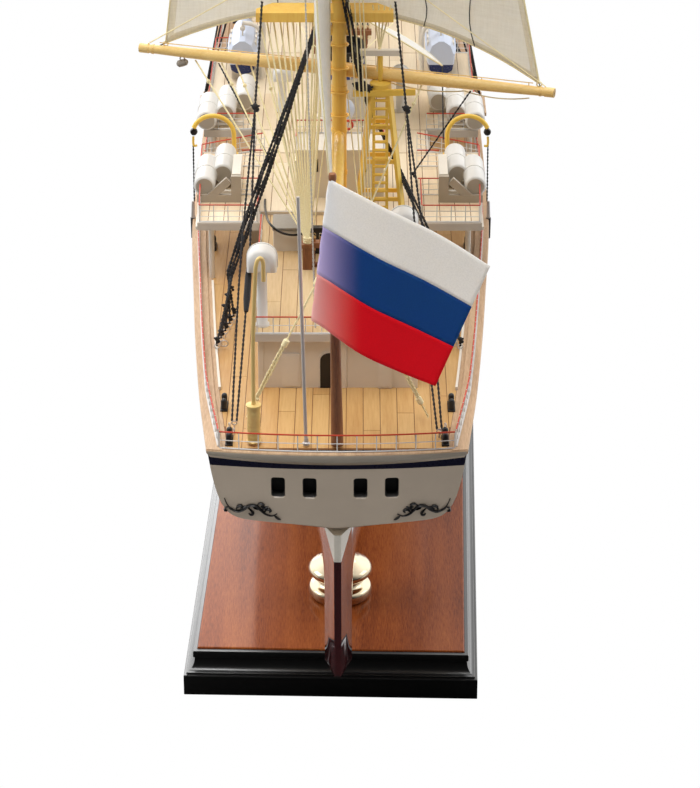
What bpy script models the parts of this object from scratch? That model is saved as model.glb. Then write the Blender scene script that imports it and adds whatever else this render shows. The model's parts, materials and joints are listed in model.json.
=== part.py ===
"""A wooden display model of a three-masted training ship, with its base and pedestals.

+Y is forward, +X is starboard, +Z is up. The origin is on the floor under the middle
of the whole model. Lengths along the ship are counted forward from the transom, and
heights from the bottom of the keel, both in millimetres.
"""
import math

import bpy
from mathutils import Matrix, Vector

for old in list(bpy.data.objects):
    bpy.data.objects.remove(old, do_unlink=True)

MM = 0.001
GAP = 0.3

# Base and pedestals
BASE_HEIGHT = 16.0
BASE_AFT_END = 87.4
BASE_FORWARD_END = 611.0
BASE_WIDTH = 98.4
PANEL_INSET = 4.5
BASE_MIDDLE_X = 4.0
BASE_YAW = math.radians(-1.55)
PEDESTAL_HEIGHT = 32.0
PEDESTAL_AFT_AT = 130.0
PEDESTAL_FORWARD_AT = 560.0

# Frame
KEEL_ABOVE_FLOOR = BASE_HEIGHT + PEDESTAL_HEIGHT
MIDDLE_FROM_TRANSOM = 391.4
MIDDLE_FROM_KEEL_LINE = 1.2

# Hull
WATERLINE = 47.0
STERNPOST_AT = 36.0
STEM_FOOT_AT = 664.0
BOW_AT = 697.0
KEEL_HALF = [(36, 4.2), (90, 3.6), (220, 1.8), (697, 1.2)]
TRANSOM_BOW = 3.0
TRANSOM_RAKE = 0.12
DECK_THICK = 1.2
STATIONS = [0, 6, 14, 24, 36, 50, 75, 105, 145, 195, 260, 340, 420, 490, 540, 580,
            612, 640, 662, 678, 690, 697]
SHEER = [(0, 88), (60, 87.4), (130, 86), (220, 82.5), (350, 80.5), (450, 82), (560, 87),
         (640, 94), (697, 101)]
DECK_HALF = [(0, 37.5), (40, 41.5), (110, 46.5), (200, 51), (300, 51.5), (420, 51.5),
             (500, 49), (580, 40), (640, 24.5), (680, 8.5), (697, 1.2)]
WATER_HALF = [(36, 4.2), (60, 9.5), (100, 25), (150, 38), (220, 46), (300, 48.5),
              (400, 48.5), (480, 45), (560, 31), (620, 14), (664, 1.2)]
COUNTER = [(0, 65), (12, 59), (24, 52), (36, 47)]
STEM = [(600, 0), (630, 4), (650, 22), (664, 47), (676, 64), (688, 84), (697, 100)]
FULL_BELOW = [(36, 2.2), (100, 1.4), (180, 0.6), (300, 0.33), (420, 0.33), (520, 0.55),
              (600, 1.0), (664, 1.2)]
FULL_ABOVE = [(0, 0.08), (14, 0.22), (36, 0.4), (80, 0.5), (150, 0.6), (250, 0.8),
              (600, 1.3), (697, 1.3)]
ROWS_BELOW = [0, 0.08, 0.2, 0.42, 0.7, 1]
ROWS_ABOVE = [0, 0.05, 0.16, 0.4, 0.7, 1]

# Cap rail and railings
CAP_WIDTH = 4.4
CAP_THICK = 1.6
CAP_OVERHANG = 0.5
RAIL_INSET = 2.0
RAIL_BAR = 0.6
RAIL_LEVELS = (0.35, 2.7, 5.3)
STANCHION_STEP = 36.0

# Houses and boat deck
BOAT_DECK = 107.0
BOAT_DECK_THICK = 3.7
HOUSE_AFT_AT = 45.0
HOUSE_HALF = 23.8
ROOF_HALF = 25.5
ROOF_AFT_AT = 43.0
WING_AFT_AT = 128.0
BOAT_DECK_EDGE = [(46, WING_AFT_AT), (47.5, 160), (47.8, 192), (30, 192), (30, 214),
                  (47.8, 214), (47.8, 297), (36, 297), (36, 392)]

# Masts, heights above the keel
MIZZEN_AT = 120.0
MAIN_AT = 324.0
FORE_AT = 504.0
POOP = 88.0
MIZZEN_TRUCK = POOP + 300
MAIN_DECK = 81.0
MAIN_TRUCK = MAIN_DECK + 331
FORE_DECK = 84.0
FORE_TRUCK = FORE_DECK + 325
MAST_FOOT_RADIUS = 2.4
MAST_HEAD_RADIUS = 0.9
BRACE = math.radians(18)
YARD_THICK = 0.03
SAIL_THICK = 0.8

# Standing rigging of the fore and main masts: distances abaft the mast of the feet, and
# heights above the mast's deck at which shrouds, backstays and stays leave the mast
ROPE_RADIUS = 0.45
SHROUD_FEET = (9.0, 12.6, 16.2, 19.8)
BACKSTAY_FEET = (21.8, 23.8, 25.8)
SHROUD_HEAD = 112.0
STAY_HEADS = (180.5, 227.0, 266.0)
MIZZEN_STAY_HEADS = (165.0, 206.0, 242.0)
STAY_FEET = (113.0, 170.0, 222.0)
CHANNEL_OUT = 1.9
CHANNEL_THICK = 1.2

# Joints
RUDDER_AXIS_AT = 31.0
RUDDER_HALF = 4.2
RUDDER_EDGE_HALF = 1.1
RUDDER_HEEL_AT = 18.4
RUDDER_HEAD_AT = 5.7
RUDDER_HEAD = 57.3
RUDDER_HEAD_SLOPE = 0.40
BOOM_HEIGHT = POOP + 53
GAFF_THROAT = POOP + 150


def place(x, y, z):
    """A point of the ship, in millimetres, as a world point in metres."""
    across = x - MIDDLE_FROM_KEEL_LINE
    return Vector((across, y - MIDDLE_FROM_TRANSOM, z + KEEL_ABOVE_FLOOR)) * MM


def through(points, at):
    """The value at a position on a smooth curve through (position, value) points."""
    if at <= points[0][0]:
        return points[0][1]
    if at >= points[-1][0]:
        return points[-1][1]
    slopes = [(b[1] - a[1]) / (b[0] - a[0]) for a, b in zip(points, points[1:])]
    i = 0
    while at > points[i + 1][0]:
        i += 1

    def tangent(k):
        if k == 0:
            return slopes[0]
        if k == len(points) - 1:
            return slopes[-1]
        before, after = slopes[k - 1], slopes[k]
        if before * after <= 0:
            return 0.0
        return 2 * before * after / (before + after)

    span = points[i + 1][0] - points[i][0]
    t = (at - points[i][0]) / span
    m0 = tangent(i) * span
    m1 = tangent(i + 1) * span
    return ((2 * t**3 - 3 * t**2 + 1) * points[i][1] + (t**3 - 2 * t**2 + t) * m0
            + (3 * t**2 - 2 * t**3) * points[i + 1][1] + (t**3 - t**2) * m1)


def finish(name, colour, roughness=0.5, metallic=0.0):
    """A Principled material in the part's own colour."""
    material = bpy.data.materials.new(name)
    material.use_nodes = True
    shader = material.node_tree.nodes["Principled BSDF"]
    shader.inputs["Base Color"].default_value = (*colour, 1.0)
    shader.inputs["Roughness"].default_value = roughness
    shader.inputs["Metallic"].default_value = metallic
    return material


MAHOGANY = finish("mahogany", (0.20, 0.06, 0.03), 0.3)
BLACK = finish("black_lacquer", (0.01, 0.01, 0.01), 0.15)
BRASS = finish("brass", (0.80, 0.58, 0.26), 0.25, 1.0)
MAROON = finish("maroon_paint", (0.16, 0.02, 0.02), 0.2)
CREAM = finish("cream_paint", (0.78, 0.74, 0.68), 0.35)
MAPLE = finish("maple_planks", (0.72, 0.46, 0.20), 0.5)
TAN = finish("tan_wood", (0.45, 0.28, 0.18), 0.5)
YELLOW = finish("yellow_wood", (0.78, 0.52, 0.16), 0.45)
BROWN = finish("brown_wood", (0.30, 0.13, 0.06), 0.45)
WHITE = finish("white_paint", (0.86, 0.85, 0.83), 0.4)
LINEN = finish("linen", (0.80, 0.74, 0.62), 0.9)
SILVER = finish("silver_rod", (0.62, 0.62, 0.66), 0.3, 1.0)
FLAG = finish("flag_print", (0.10, 0.13, 0.45), 0.35)


def shape(name, verts, faces, material, origin=None):
    """One mesh object from world points, with its own origin."""
    at = origin or Vector((0, 0, 0))
    mesh = bpy.data.meshes.new(name)
    mesh.from_pydata([Vector(v) - at for v in verts], [], faces)
    mesh.validate()
    mesh.materials.append(material)
    thing = bpy.data.objects.new(name, mesh)
    thing.location = at
    bpy.context.scene.collection.objects.link(thing)
    return thing


def shade(thing, angle=35):
    """Smooth shading with sharp edges kept."""
    thing.data.shade_smooth()
    thing.data.set_sharp_from_angle(angle=math.radians(angle))
    return thing


def joined_rings(rings):
    """Closed skin through rings of points, each counter-clockwise seen from the far end."""
    count = len(rings[0])
    verts = [v for ring in rings for v in ring]
    faces = []
    for r in range(len(rings) - 1):
        for k in range(count):
            n = (k + 1) % count
            faces.append((r * count + k, r * count + n, (r + 1) * count + n,
                          (r + 1) * count + k))
    faces.append(tuple(reversed(range(count))))
    faces.append(tuple((len(rings) - 1) * count + k for k in range(count)))
    return verts, faces


def box(low, high):
    """A block between two corners given in ship millimetres."""
    x0, y0, z0 = low
    x1, y1, z1 = high
    lower = [place(x, y, z0) for x, y in ((x0, y0), (x1, y0), (x1, y1), (x0, y1))]
    upper = [place(x, y, z1) for x, y in ((x0, y0), (x1, y0), (x1, y1), (x0, y1))]
    return joined_rings([lower, upper])


def prism(outline, z0, z1):
    """An upright block over a plan outline, counter-clockwise from above."""
    return joined_rings([[place(x, y, z0) for x, y in outline],
                         [place(x, y, z1) for x, y in outline]])


def rod(points, radii, sides=8):
    """A round bar through ship points, with a radius at each."""
    spots = [place(*p) for p in points]
    rings = []
    side = None
    for i, spot in enumerate(spots):
        ahead = spots[min(i + 1, len(spots) - 1)]
        behind = spots[max(i - 1, 0)]
        along = (ahead - behind).normalized()
        if side is None:
            helper = Vector((0, 0, 1)) if abs(along.z) < 0.9 else Vector((1, 0, 0))
            side = along.cross(helper).normalized()
        side = (side - along * side.dot(along)).normalized()
        up = side.cross(along)
        radius = radii[i] if isinstance(radii, (list, tuple)) else radii
        ring = []
        for k in range(sides):
            a = -2 * math.pi * (k + 0.5) / sides
            ring.append(spot + (side * math.cos(a) + up * math.sin(a)) * radius * MM)
        rings.append(ring)
    return joined_rings(rings)


def turned(profile, centre, sides=16):
    """A turned piece: (radius, height) pairs from the bottom up around an upright axis."""
    x, y, z = centre
    rings = []
    for radius, height in profile:
        rings.append([place(x + radius * math.cos(2 * math.pi * k / sides),
                            y + radius * math.sin(2 * math.pi * k / sides), z + height)
                      for k in range(sides)])
    return joined_rings(rings)


def solid(name, piece, material, origin=None):
    """One object from one closed skin."""
    return shade(shape(name, *piece, material, origin))


def fused(name, pieces, material, origin=None):
    """One object in which several overlapping closed skins are united."""
    thing = shape(name, *pieces[0], material, origin)
    verts = []
    faces = []
    for piece_verts, piece_faces in pieces[1:]:
        start = len(verts)
        verts.extend(piece_verts)
        faces.extend(tuple(start + k for k in face) for face in piece_faces)
    rest = shape(name + ".union", verts, faces, material, origin)
    rest.hide_render = True
    rest.display_type = "WIRE"
    joint = thing.modifiers.new("union", "BOOLEAN")
    joint.operation = "UNION"
    joint.solver = "EXACT"
    joint.use_self = True
    joint.object = rest
    return shade(thing)


def deck_height(y):
    return through(SHEER, y)


def deck_half(y):
    return through(DECK_HALF, y)


def keel_line(y):
    """Height of the centre line's lowest point, counter and stem included."""
    return through(COUNTER, y) if y < STERNPOST_AT else through(STEM, y)


def plan_y(y, x, z):
    """Position along the ship with the transom's rake and its bow in plan."""
    fade = max(0.0, 1 - y / STERNPOST_AT)
    across = 1 - (x / DECK_HALF[0][1]) ** 2
    return y + fade * (TRANSOM_RAKE * (SHEER[0][1] - z) - TRANSOM_BOW * across)


def hull_section(y, low, high, low_half, high_half, fullness, rows):
    """One closed section of the hull, from port rail round the keel to starboard."""
    side = []
    for s in rows:
        half = low_half + (high_half - low_half) * s**fullness
        side.append((half, low + (high - low) * s))
    ring = [(half, z) for half, z in side] + [(-half, z) for half, z in reversed(side)]
    return [place(x, plan_y(y, x, z), z) for x, z in ring]


def hull():
    below = []
    for y in [s for s in STATIONS if STERNPOST_AT <= s < STEM_FOOT_AT]:
        below.append(hull_section(y, keel_line(y) if y > STERNPOST_AT else 0, WATERLINE,
                                  through(KEEL_HALF, y), through(WATER_HALF, y),
                                  through(FULL_BELOW, y), ROWS_BELOW))
    verts, faces = joined_rings(below)
    solid("hull_bottom", (verts, [tuple(reversed(f)) for f in faces]), MAROON)
    above = []
    for y in STATIONS:
        low = max(WATERLINE + GAP, keel_line(y))
        low_half = through(WATER_HALF, y)
        above.append(hull_section(y, low, deck_height(y) - DECK_THICK, low_half,
                                  deck_half(y), through(FULL_ABOVE, y), ROWS_ABOVE))
    verts, faces = joined_rings(above)
    solid("hull_topsides", (verts, [tuple(reversed(f)) for f in faces]), CREAM)


def strip(stations, inner, outer, low, high):
    """A bar along the ship between two edges, each a function of the station."""
    rings = []
    for y in stations:
        a, b = inner(y), outer(y)
        z0, z1 = low(y), high(y)
        ring = [(a, z0), (b, z0), (b, z1), (a, z1)]
        rings.append([place(x, plan_y(y, x, z), z) for x, z in ring])
    return joined_rings(rings)


def flipped(piece):
    return piece[0], [tuple(reversed(f)) for f in piece[1]]


def deck():
    """The planked deck with its bollards, hatch, windlass and rails for belaying pins."""
    stations = [5.5] + [s for s in STATIONS if 6 < s < 690]
    edge = CAP_WIDTH + GAP
    planks = strip(stations, lambda y: -(deck_half(y) - edge), lambda y: deck_half(y) - edge,
                   lambda y: deck_height(y) - DECK_THICK + GAP, deck_height)
    pieces = [flipped(planks)]
    for side in (-1, 1):
        for y, inset in ((6.6, 8.5), (30, 8.5), (640, 8.5)):
            x = side * (deck_half(y) - inset)
            pieces.append(turned([(1.5, -0.6), (1.5, 3.6), (1.9, 3.9), (1.9, 4.6)],
                                 (x, y, deck_height(y)), 8))
    for half, aft, fore, height in ((9, 580, 600, 4), (7, 641, 649, 3)):
        block = strip([aft, fore], lambda y: -half, lambda y: half,
                      lambda y: deck_height(y) - 0.5, lambda y: deck_height(y) + height)
        pieces.append(flipped(block))
    z = deck_height(645)
    pieces.append(rod([(-9, 645, z + 5), (9, 645, z + 5)], 2.6))
    fused("deck_planking", pieces, MAPLE)


def cap_rails():
    stations = [5.9] + [s for s in STATIONS if 6 < s < 692]
    for word, side in (("port", -1), ("starboard", 1)):
        bar = strip(stations,
                    lambda y: side * max(deck_half(y) - CAP_WIDTH, 0.4),
                    lambda y: side * (deck_half(y) + CAP_OVERHANG),
                    lambda y: deck_height(y) - DECK_THICK + GAP,
                    lambda y: deck_height(y) + CAP_THICK - DECK_THICK + GAP)
        solid("cap_rail_" + word, flipped(bar) if side > 0 else bar, TAN)
    rings = []
    low = SHEER[0][1] - DECK_THICK + GAP
    for i in range(9):
        x = (DECK_HALF[0][1] + CAP_OVERHANG) * (i / 4 - 1)
        aft = plan_y(0, x, low)
        fore = aft + CAP_WIDTH + 0.8
        ring = [(aft - CAP_OVERHANG, low), (fore, low), (fore, low + CAP_THICK),
                (aft - CAP_OVERHANG, low + CAP_THICK)]
        rings.append([place(x, y, z) for y, z in ring])
    solid("cap_rail_stern", joined_rings(rings), TAN)


def fence(name, path, levels, bar, material):
    """A railing along a path of ship points: a stanchion at each, a rail at each level."""
    half = bar / 2
    verts = []
    frames = []
    for i, point in enumerate(path):
        here = Vector(point)
        along = Vector(path[min(i + 1, len(path) - 1)]) - Vector(path[max(i - 1, 0)])
        along.z = 0
        along.normalize()
        across = Vector((-along.y, along.x, 0))
        column = []
        for level in levels:
            start = len(verts)
            for up in (-half, half):
                for t, n in ((-half, -half), (half, -half), (half, half), (-half, half)):
                    spot = here + along * t + across * n + Vector((0, 0, level + up))
                    verts.append(place(*spot))
            column.append(start)
        frames.append(column)
    faces = []
    last = len(path) - 1
    for i, column in enumerate(frames):
        for j, s in enumerate(column):
            faces.append((s, s + 1, s + 5, s + 4))
            faces.append((s + 2, s + 3, s + 7, s + 6))
            if i == 0:
                faces.append((s + 3, s, s + 4, s + 7))
            if i == last:
                faces.append((s + 1, s + 2, s + 6, s + 5))
            if j == 0:
                faces.append((s + 3, s + 2, s + 1, s))
            if j == len(column) - 1:
                faces.append((s + 4, s + 5, s + 6, s + 7))
            if j < len(column) - 1:
                n = column[j + 1]
                for a, b in ((0, 1), (1, 2), (2, 3), (3, 0)):
                    faces.append((s + 4 + a, s + 4 + b, n + b, n + a))
            if i < last:
                n = frames[i + 1][j]
                faces.append((s + 1, n, n + 4, s + 5))
                faces.append((s + 5, n + 4, n + 7, s + 6))
                faces.append((s + 6, n + 7, n + 3, s + 2))
                faces.append((s + 2, n + 3, n, s + 1))
    return shape(name, verts, faces, material)


def railings():
    top = CAP_THICK - DECK_THICK + GAP + 0.2
    count = round((680 - 6) / STANCHION_STEP)
    for word, side in (("port", -1), ("starboard", 1)):
        path = []
        for i in range(count + 1):
            y = 6 + (680 - 6) * i / count
            path.append((side * (deck_half(y) - RAIL_INSET), y, deck_height(y) + top))
        fence("railing_" + word, path, RAIL_LEVELS, RAIL_BAR, WHITE)
    path = []
    for i in range(9):
        x = (DECK_HALF[0][1] - RAIL_INSET) * (i / 4 - 1)
        path.append((x, plan_y(0, x, SHEER[0][1]) + RAIL_INSET, SHEER[0][1] + top))
    fence("railing_stern", path, RAIL_LEVELS, RAIL_BAR, WHITE)


def base():
    middle = (BASE_AFT_END + BASE_FORWARD_END) / 2
    centre = place(BASE_MIDDLE_X, middle, -KEEL_ABOVE_FLOOR)
    long_half = (BASE_FORWARD_END - BASE_AFT_END) / 2
    wide_half = BASE_WIDTH / 2
    turn = Matrix.Rotation(BASE_YAW, 4, "Z")
    edge = [(0.0, 0.0), (0.0, 5.0), (-0.9, 6.2), (-0.9, 7.0), (-3.2, 10.5), (-3.2, 12.0),
            (-2.2, 12.6), (-2.2, 14.4), (-3.0, 15.3)]
    rings = []
    for out, height in edge:
        w, h = wide_half + out, long_half + out
        rings.append([centre + turn @ Vector((x, y, height)) * MM
                      for x, y in ((-w, -h), (w, -h), (w, h), (-w, h))])
    solid("base_moulding", joined_rings(rings), BLACK)
    w, h = wide_half - PANEL_INSET, long_half - PANEL_INSET
    rings = [[centre + turn @ Vector((x, y, height)) * MM
              for x, y in ((-w, -h), (w, -h), (w, h), (-w, h))]
             for height in (15.3 + GAP, BASE_HEIGHT)]
    solid("base_board", joined_rings(rings), MAHOGANY)


PEDESTAL_PROFILE = [(9.6, 0.3), (10.7, 1.2), (10.7, 3.6), (9.2, 5.0), (7.6, 6.4),
                    (8.2, 8.2), (10.7, 9.4), (10.7, 11.4), (8.6, 13.4), (5.6, 15.6),
                    (4.4, 19.0), (4.2, 23.0), (5.2, 26.5), (7.0, 28.6), (7.0, 31.7)]


def pedestals():
    for word, at in (("aft", PEDESTAL_AFT_AT), ("forward", PEDESTAL_FORWARD_AT)):
        piece = turned(PEDESTAL_PROFILE, (0, at, -PEDESTAL_HEIGHT))
        solid("pedestal_" + word, piece, BRASS)


def rudder():
    """The wedge-shaped rudder, round at its leading edge, turning about an upright axis."""
    def aft_edge(z):
        return RUDDER_HEEL_AT + (RUDDER_HEAD_AT - RUDDER_HEEL_AT) * z / RUDDER_HEAD

    def section(aft):
        ring = [(-RUDDER_EDGE_HALF, aft), (RUDDER_EDGE_HALF, aft)]
        for k in range(9):
            a = math.pi * k / 8
            ring.append((RUDDER_HALF * math.cos(a), RUDDER_AXIS_AT + RUDDER_HALF * math.sin(a)))
        return ring

    rings = [[place(x, y, 0) for x, y in section(RUDDER_HEEL_AT + 2.5)]]
    for z in (1.5, 12, 24, 36):
        rings.append([place(x, y, z) for x, y in section(aft_edge(z))])
    rings.append([place(x, y, RUDDER_HEAD - RUDDER_HEAD_SLOPE * (y - RUDDER_HEAD_AT))
                  for x, y in section(RUDDER_HEAD_AT)])
    solid("rudder", joined_rings(rings), MAROON, place(0, RUDDER_AXIS_AT, 0))


def mirrored(outline):
    """A plan outline of the starboard half, completed on the port side."""
    return outline + [(-x, y) for x, y in reversed(outline)]


def houses():
    under = BOAT_DECK - BOAT_DECK_THICK - GAP
    lift = 0.3

    def walls(name, x, y0, y1, z1):
        lowest = max(deck_height(y0), deck_height(y1)) + lift
        solid(name, box((-x, y0, lowest), (x, y1, z1)), WHITE)

    walls("deckhouse_aft", HOUSE_HALF, HOUSE_AFT_AT, 150, under)
    walls("deckhouse_mid", 31, 165, 385, under)
    walls("deckhouse_fore", 20, 425, 480, deck_height(450) + 18)
    roof = [(ROOF_HALF, ROOF_AFT_AT), (ROOF_HALF, WING_AFT_AT - GAP)]
    locker = box((-21.4, 104, BOAT_DECK - 1), (-11.5, 120, BOAT_DECK + 5))
    fused("deckhouse_roof", [prism(mirrored(roof), BOAT_DECK - BOAT_DECK_THICK, BOAT_DECK),
                             locker], MAPLE)
    pieces = [prism(mirrored(BOAT_DECK_EDGE), BOAT_DECK - BOAT_DECK_THICK, BOAT_DECK)]
    for side in (-1, 1):
        for y in (132, 186, 218, 290):
            z = deck_height(y) + lift
            x = side * (deck_half(y) - CAP_WIDTH - GAP - 1.2)
            pieces.append(box((x - 0.9, y - 0.9, z), (x + 0.9, y + 0.9, BOAT_DECK - 1)))
    pieces.append(box((-14.7, 150, BOAT_DECK - 1), (14.7, 166, BOAT_DECK + 17)))
    fused("boat_deck", pieces, MAPLE)
    z = BOAT_DECK + lift
    bridge = [box((-19, 345, z), (19, 385, z + 14)),
              box((-40, 362, z + 12.6), (40, 386, z + 15)),
              box((-14, 350, z + 14), (14, 382, z + 27))]
    fused("bridge_house", bridge, WHITE)
    rings = []
    for h, x, y0, y1 in ((0, 9, 222, 244), (20, 8, 221, 241), (26, 8, 220.5, 240)):
        rings.append([place(px, py, z + h) for px, py in
                      ((-x * 0.6, y0), (x * 0.6, y0), (x, y0 + 5), (x, y1 - 5),
                       (x * 0.6, y1), (-x * 0.6, y1), (-x, y1 - 5), (-x, y0 + 5))])
    solid("funnel", joined_rings(rings), WHITE)


def tower():
    """The lattice tower for the radar, starboard of the mizzen mast."""
    x, y, z = 13.0, 118.0, BOAT_DECK + 0.3
    pieces = []
    corners = [(-1, -1), (1, -1), (1, 1), (-1, 1)]
    foot, head, tall = 8.5, 2.7, 46.0
    for sx, sy in corners:
        pieces.append(rod([(x + sx * foot, y + sy * foot * 0.55, z),
                           (x + sx * head, y + sy * head * 0.8, z + tall)], 0.8, 4))
    for level in (0.0, 0.3, 0.62):
        half = foot + (head - foot) * level
        depth = foot * 0.55 + (head * 0.8 - foot * 0.55) * level
        h = z + tall * level + 0.5
        for sy in (-1, 1):
            pieces.append(box((x - half - 0.4, y + sy * depth - 0.45, h),
                              (x + half + 0.4, y + sy * depth + 0.45, h + 1.1)))
        for sx in (-1, 1):
            pieces.append(box((x + sx * half - 0.45, y - depth - 0.3, h + 0.05),
                              (x + sx * half + 0.45, y + depth + 0.3, h + 1.05)))
    pieces.append(box((x - 3.6, y - 3.4, z + tall - 1.6), (x + 3.6, y + 3.4, z + tall + 1.6)))
    pieces.append(box((x - 9, y - 4.4, z + tall - 3.4), (x + 11, y - 3.0, z + tall - 1.0)))
    fused("lattice_tower", pieces, YELLOW)


def cowl_vents():
    for word, x, y, radius in (("port", -22.4, 48, 4.6), ("starboard", 19.5, 79, 4.6)):
        z = BOAT_DECK + 0.3
        centre = (x, y, z + 22)
        post = turned([(2.2, 0), (1.4, 0.8), (1.25, 20)], (x, y, z), 12)
        rings = []
        for t, r in ((-0.2, 0.62), (-0.7, 0.95), (-0.55, 0.93), (0.1, 1.0), (0.7, 0.72),
                     (0.95, 0.3)):
            ring = []
            for k in range(12):
                a = 2 * math.pi * k / 12
                ring.append(place(centre[0] + radius * r * math.cos(a),
                                  centre[1] - radius * t * 0.9,
                                  centre[2] + radius * r * math.sin(a) - radius * t * 0.3))
            rings.append(ring)
        fused("cowl_vent_" + word, [joined_rings(rings), post], WHITE)


def stern_fittings():
    z = SHEER[0][1] + CAP_THICK - DECK_THICK + 2 * GAP
    x, y = -24.2, 4.9
    base_can = turned([(2.6, 0), (2.6, 10), (3.0, 10.2), (3.0, 11.4)], (x, y, z), 12)
    bend = [(x, y, z + 8), (x + 0.6, y, z + 54)]
    for k in range(1, 6):
        a = math.pi * k / 5
        bend.append((x + 1.8 - 1.2 * math.cos(a), y, z + 54 + 3.0 * math.sin(a)))
    fused("stern_davit", [base_can, rod(bend, 0.95)], BRASS)
    solid("whip_aerial", rod([(-9.0, 3.2, z), (-10.9, 6, z + 77)], [0.9, 0.6]), SILVER)
    staff = rod([(0, 3.0, z), (0, 3.0, z + 2), (0, 2.5, z + 81.5), (0, 2.2, z + 85.5)],
                [1.35, 1.35, 0.95, 1.2], 10)
    solid("ensign_staff", staff, BROWN)


def sheet(grid, thick):
    """A thin closed solid from a grid of ship points, thickened forward."""
    rows, cols = len(grid), len(grid[0])
    normals = []
    for i in range(rows):
        line = []
        for j in range(cols):
            a = Vector(grid[min(i + 1, rows - 1)][j]) - Vector(grid[max(i - 1, 0)][j])
            b = Vector(grid[i][min(j + 1, cols - 1)]) - Vector(grid[i][max(j - 1, 0)])
            line.append(b.cross(a).normalized())
        normals.append(line)
    verts = []
    for sign in (0, 1):
        for i in range(rows):
            for j in range(cols):
                verts.append(place(*(Vector(grid[i][j]) + normals[i][j] * thick * sign)))
    layer = rows * cols
    faces = []
    for i in range(rows - 1):
        for j in range(cols - 1):
            a, b = i * cols + j, i * cols + j + 1
            c, d = (i + 1) * cols + j + 1, (i + 1) * cols + j
            faces.append((a, b, c, d))
            faces.append((a + layer, d + layer, c + layer, b + layer))
    for j in range(cols - 1):
        a, b = j, j + 1
        faces.append((b, a, a + layer, b + layer))
        a, b = (rows - 1) * cols + j, (rows - 1) * cols + j + 1
        faces.append((a, b, b + layer, a + layer))
    for i in range(rows - 1):
        a, b = i * cols, (i + 1) * cols
        faces.append((a, b, b + layer, a + layer))
        a, b = i * cols + cols - 1, (i + 1) * cols + cols - 1
        faces.append((b, a, a + layer, b + layer))
    return flipped((verts, faces))


def ensign():
    """The flag, curled at its hoist and blown out to starboard and aft."""
    top = deck_height(6) + 83
    grid = []
    for i in range(6):
        v = i / 5
        line = []
        for j in range(9):
            u = j / 8
            curl = math.cos(math.pi * min(u / 0.35, 1)) * 0.5 + 0.5
            x = 0.6 + 46 * u * (1 - 0.15 * v) - 8.5 * v * (1 - u)
            y = 1.45 - 16 * u - 3.5 * curl * (0.2 + v) - 3 * v
            z = top - 41 * v * (1 - 0.06 * u) - 29 * u + 4 * math.sin(math.pi * u)
            line.append((x, y, z))
        grid.append(line)
    thing = shape("ensign", *sheet(grid, 0.5), FLAG)
    shade(thing, 60)


def rafts():
    z = BOAT_DECK + 0.3
    for word, side in (("port", -1), ("starboard", 1)):
        low, high = sorted((side * 29, side * 47.4))
        pieces = [box((low, 150, z), (high, 182, z + 0.9))]
        for x, y, r, long in ((44.7, 147, 3.7, 21), (39.0, 158, 3.6, 20.5)):
            body = [(side * x, y, z + r + 0.4), (side * x, y + 1.2, z + r + 0.4),
                    (side * x, y + long - 1.2, z + r + 0.4), (side * x, y + long, z + r + 0.4)]
            pieces.append(rod(body, [r * 0.8, r, r, r * 0.8], 14))
        fused("life_rafts_" + word, pieces, WHITE)
        arch = [(side * 36.5, 188, z), (side * 36.5, 188, z + 8)]
        for k in range(1, 7):
            a = math.pi * k / 7
            arch.append((side * (36.5 + 7.1 * (1 - math.cos(a))), 188,
                         z + 8 + 6.5 * math.sin(a)))
        pieces = [rod(arch, 1.0)]
        tip = arch[-1]
        pieces.append(box((tip[0] - 1.4, tip[1] - 1.4, tip[2] - 4), (tip[0] + 1.4,
                          tip[1] + 1.4, tip[2] + 0.5)))
        fused("raft_davit_" + word, pieces, YELLOW)


def lifeboats():
    """A covered lifeboat on each side, hung between two davits."""
    z = BOAT_DECK + 2.2
    stations = [(262, 4.6, 2.0), (264, 5.0, 1.2), (270, 5.4, 0.4), (276, 5.4, 0.2),
                (283, 5.3, 0.5), (288, 4.6, 1.6), (292.5, 2.9, 3.8), (295, 0.7, 7.5)]
    for word, side in (("port", -1), ("starboard", 1)):
        middle = side * 36.2
        rings = []
        for y, half, rise in stations:
            ring = [(half, 9), (half * 0.92, 5 + rise * 0.4), (half * 0.5, rise),
                    (-half * 0.5, rise), (-half * 0.92, 5 + rise * 0.4), (-half, 9),
                    (-half * 0.75, 12.5 - rise * 0.1), (0, 14.5 - rise * 0.3),
                    (half * 0.75, 12.5 - rise * 0.1)]
            rings.append([place(middle + x, y, z + h) for x, h in reversed(ring)])
        pieces = [joined_rings([list(reversed(r)) for r in rings])]
        pieces[0] = flipped(pieces[0])
        for y in (268, 289):
            foot = side * 29.4
            arm = [(foot, y, BOAT_DECK + 0.3), (foot, y, z + 14),
                   (foot + side * 2.5, y, z + 18), (middle, y, z + 19)]
            pieces.append(rod(arm, [1.2, 1.1, 1.0, 0.9], 6))
            pieces.append(rod([(middle, y, z + 19.4), (middle, y, z + 9)], 0.5, 6))
        fused("lifeboat_" + word, pieces, WHITE)


def mast_radius(share):
    return MAST_FOOT_RADIUS + (MAST_HEAD_RADIUS - MAST_FOOT_RADIUS) * share**1.6


def yard_spot(mast_at, ahead, along):
    """Plan position on a braced yard: starboard ends swing aft."""
    return (along * math.cos(BRACE) + ahead * math.sin(BRACE),
            mast_at + ahead * math.cos(BRACE) - along * math.sin(BRACE))


def fife_rail(at, foot):
    """The rail for belaying pins behind a mast, on two posts, with its sill."""
    pieces = []
    for x in (-8.6, 8.6):
        pieces.append(box((x - 1.1, at - 26, foot), (x + 1.1, at - 23.8, foot + 8)))
    pieces.append(box((-11, at - 26.4, foot + 6.6), (11, at - 23.4, foot + 8.4)))
    pieces.append(box((-1.2, at - 25, foot), (1.2, at, foot + 1.2)))
    pieces.append(box((-9, at - 25.8, foot + 0.1), (9, at - 24.2, foot + 1.1)))
    return pieces


def rope(start, end):
    return rod([start, end], ROPE_RADIUS, 6)


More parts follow.
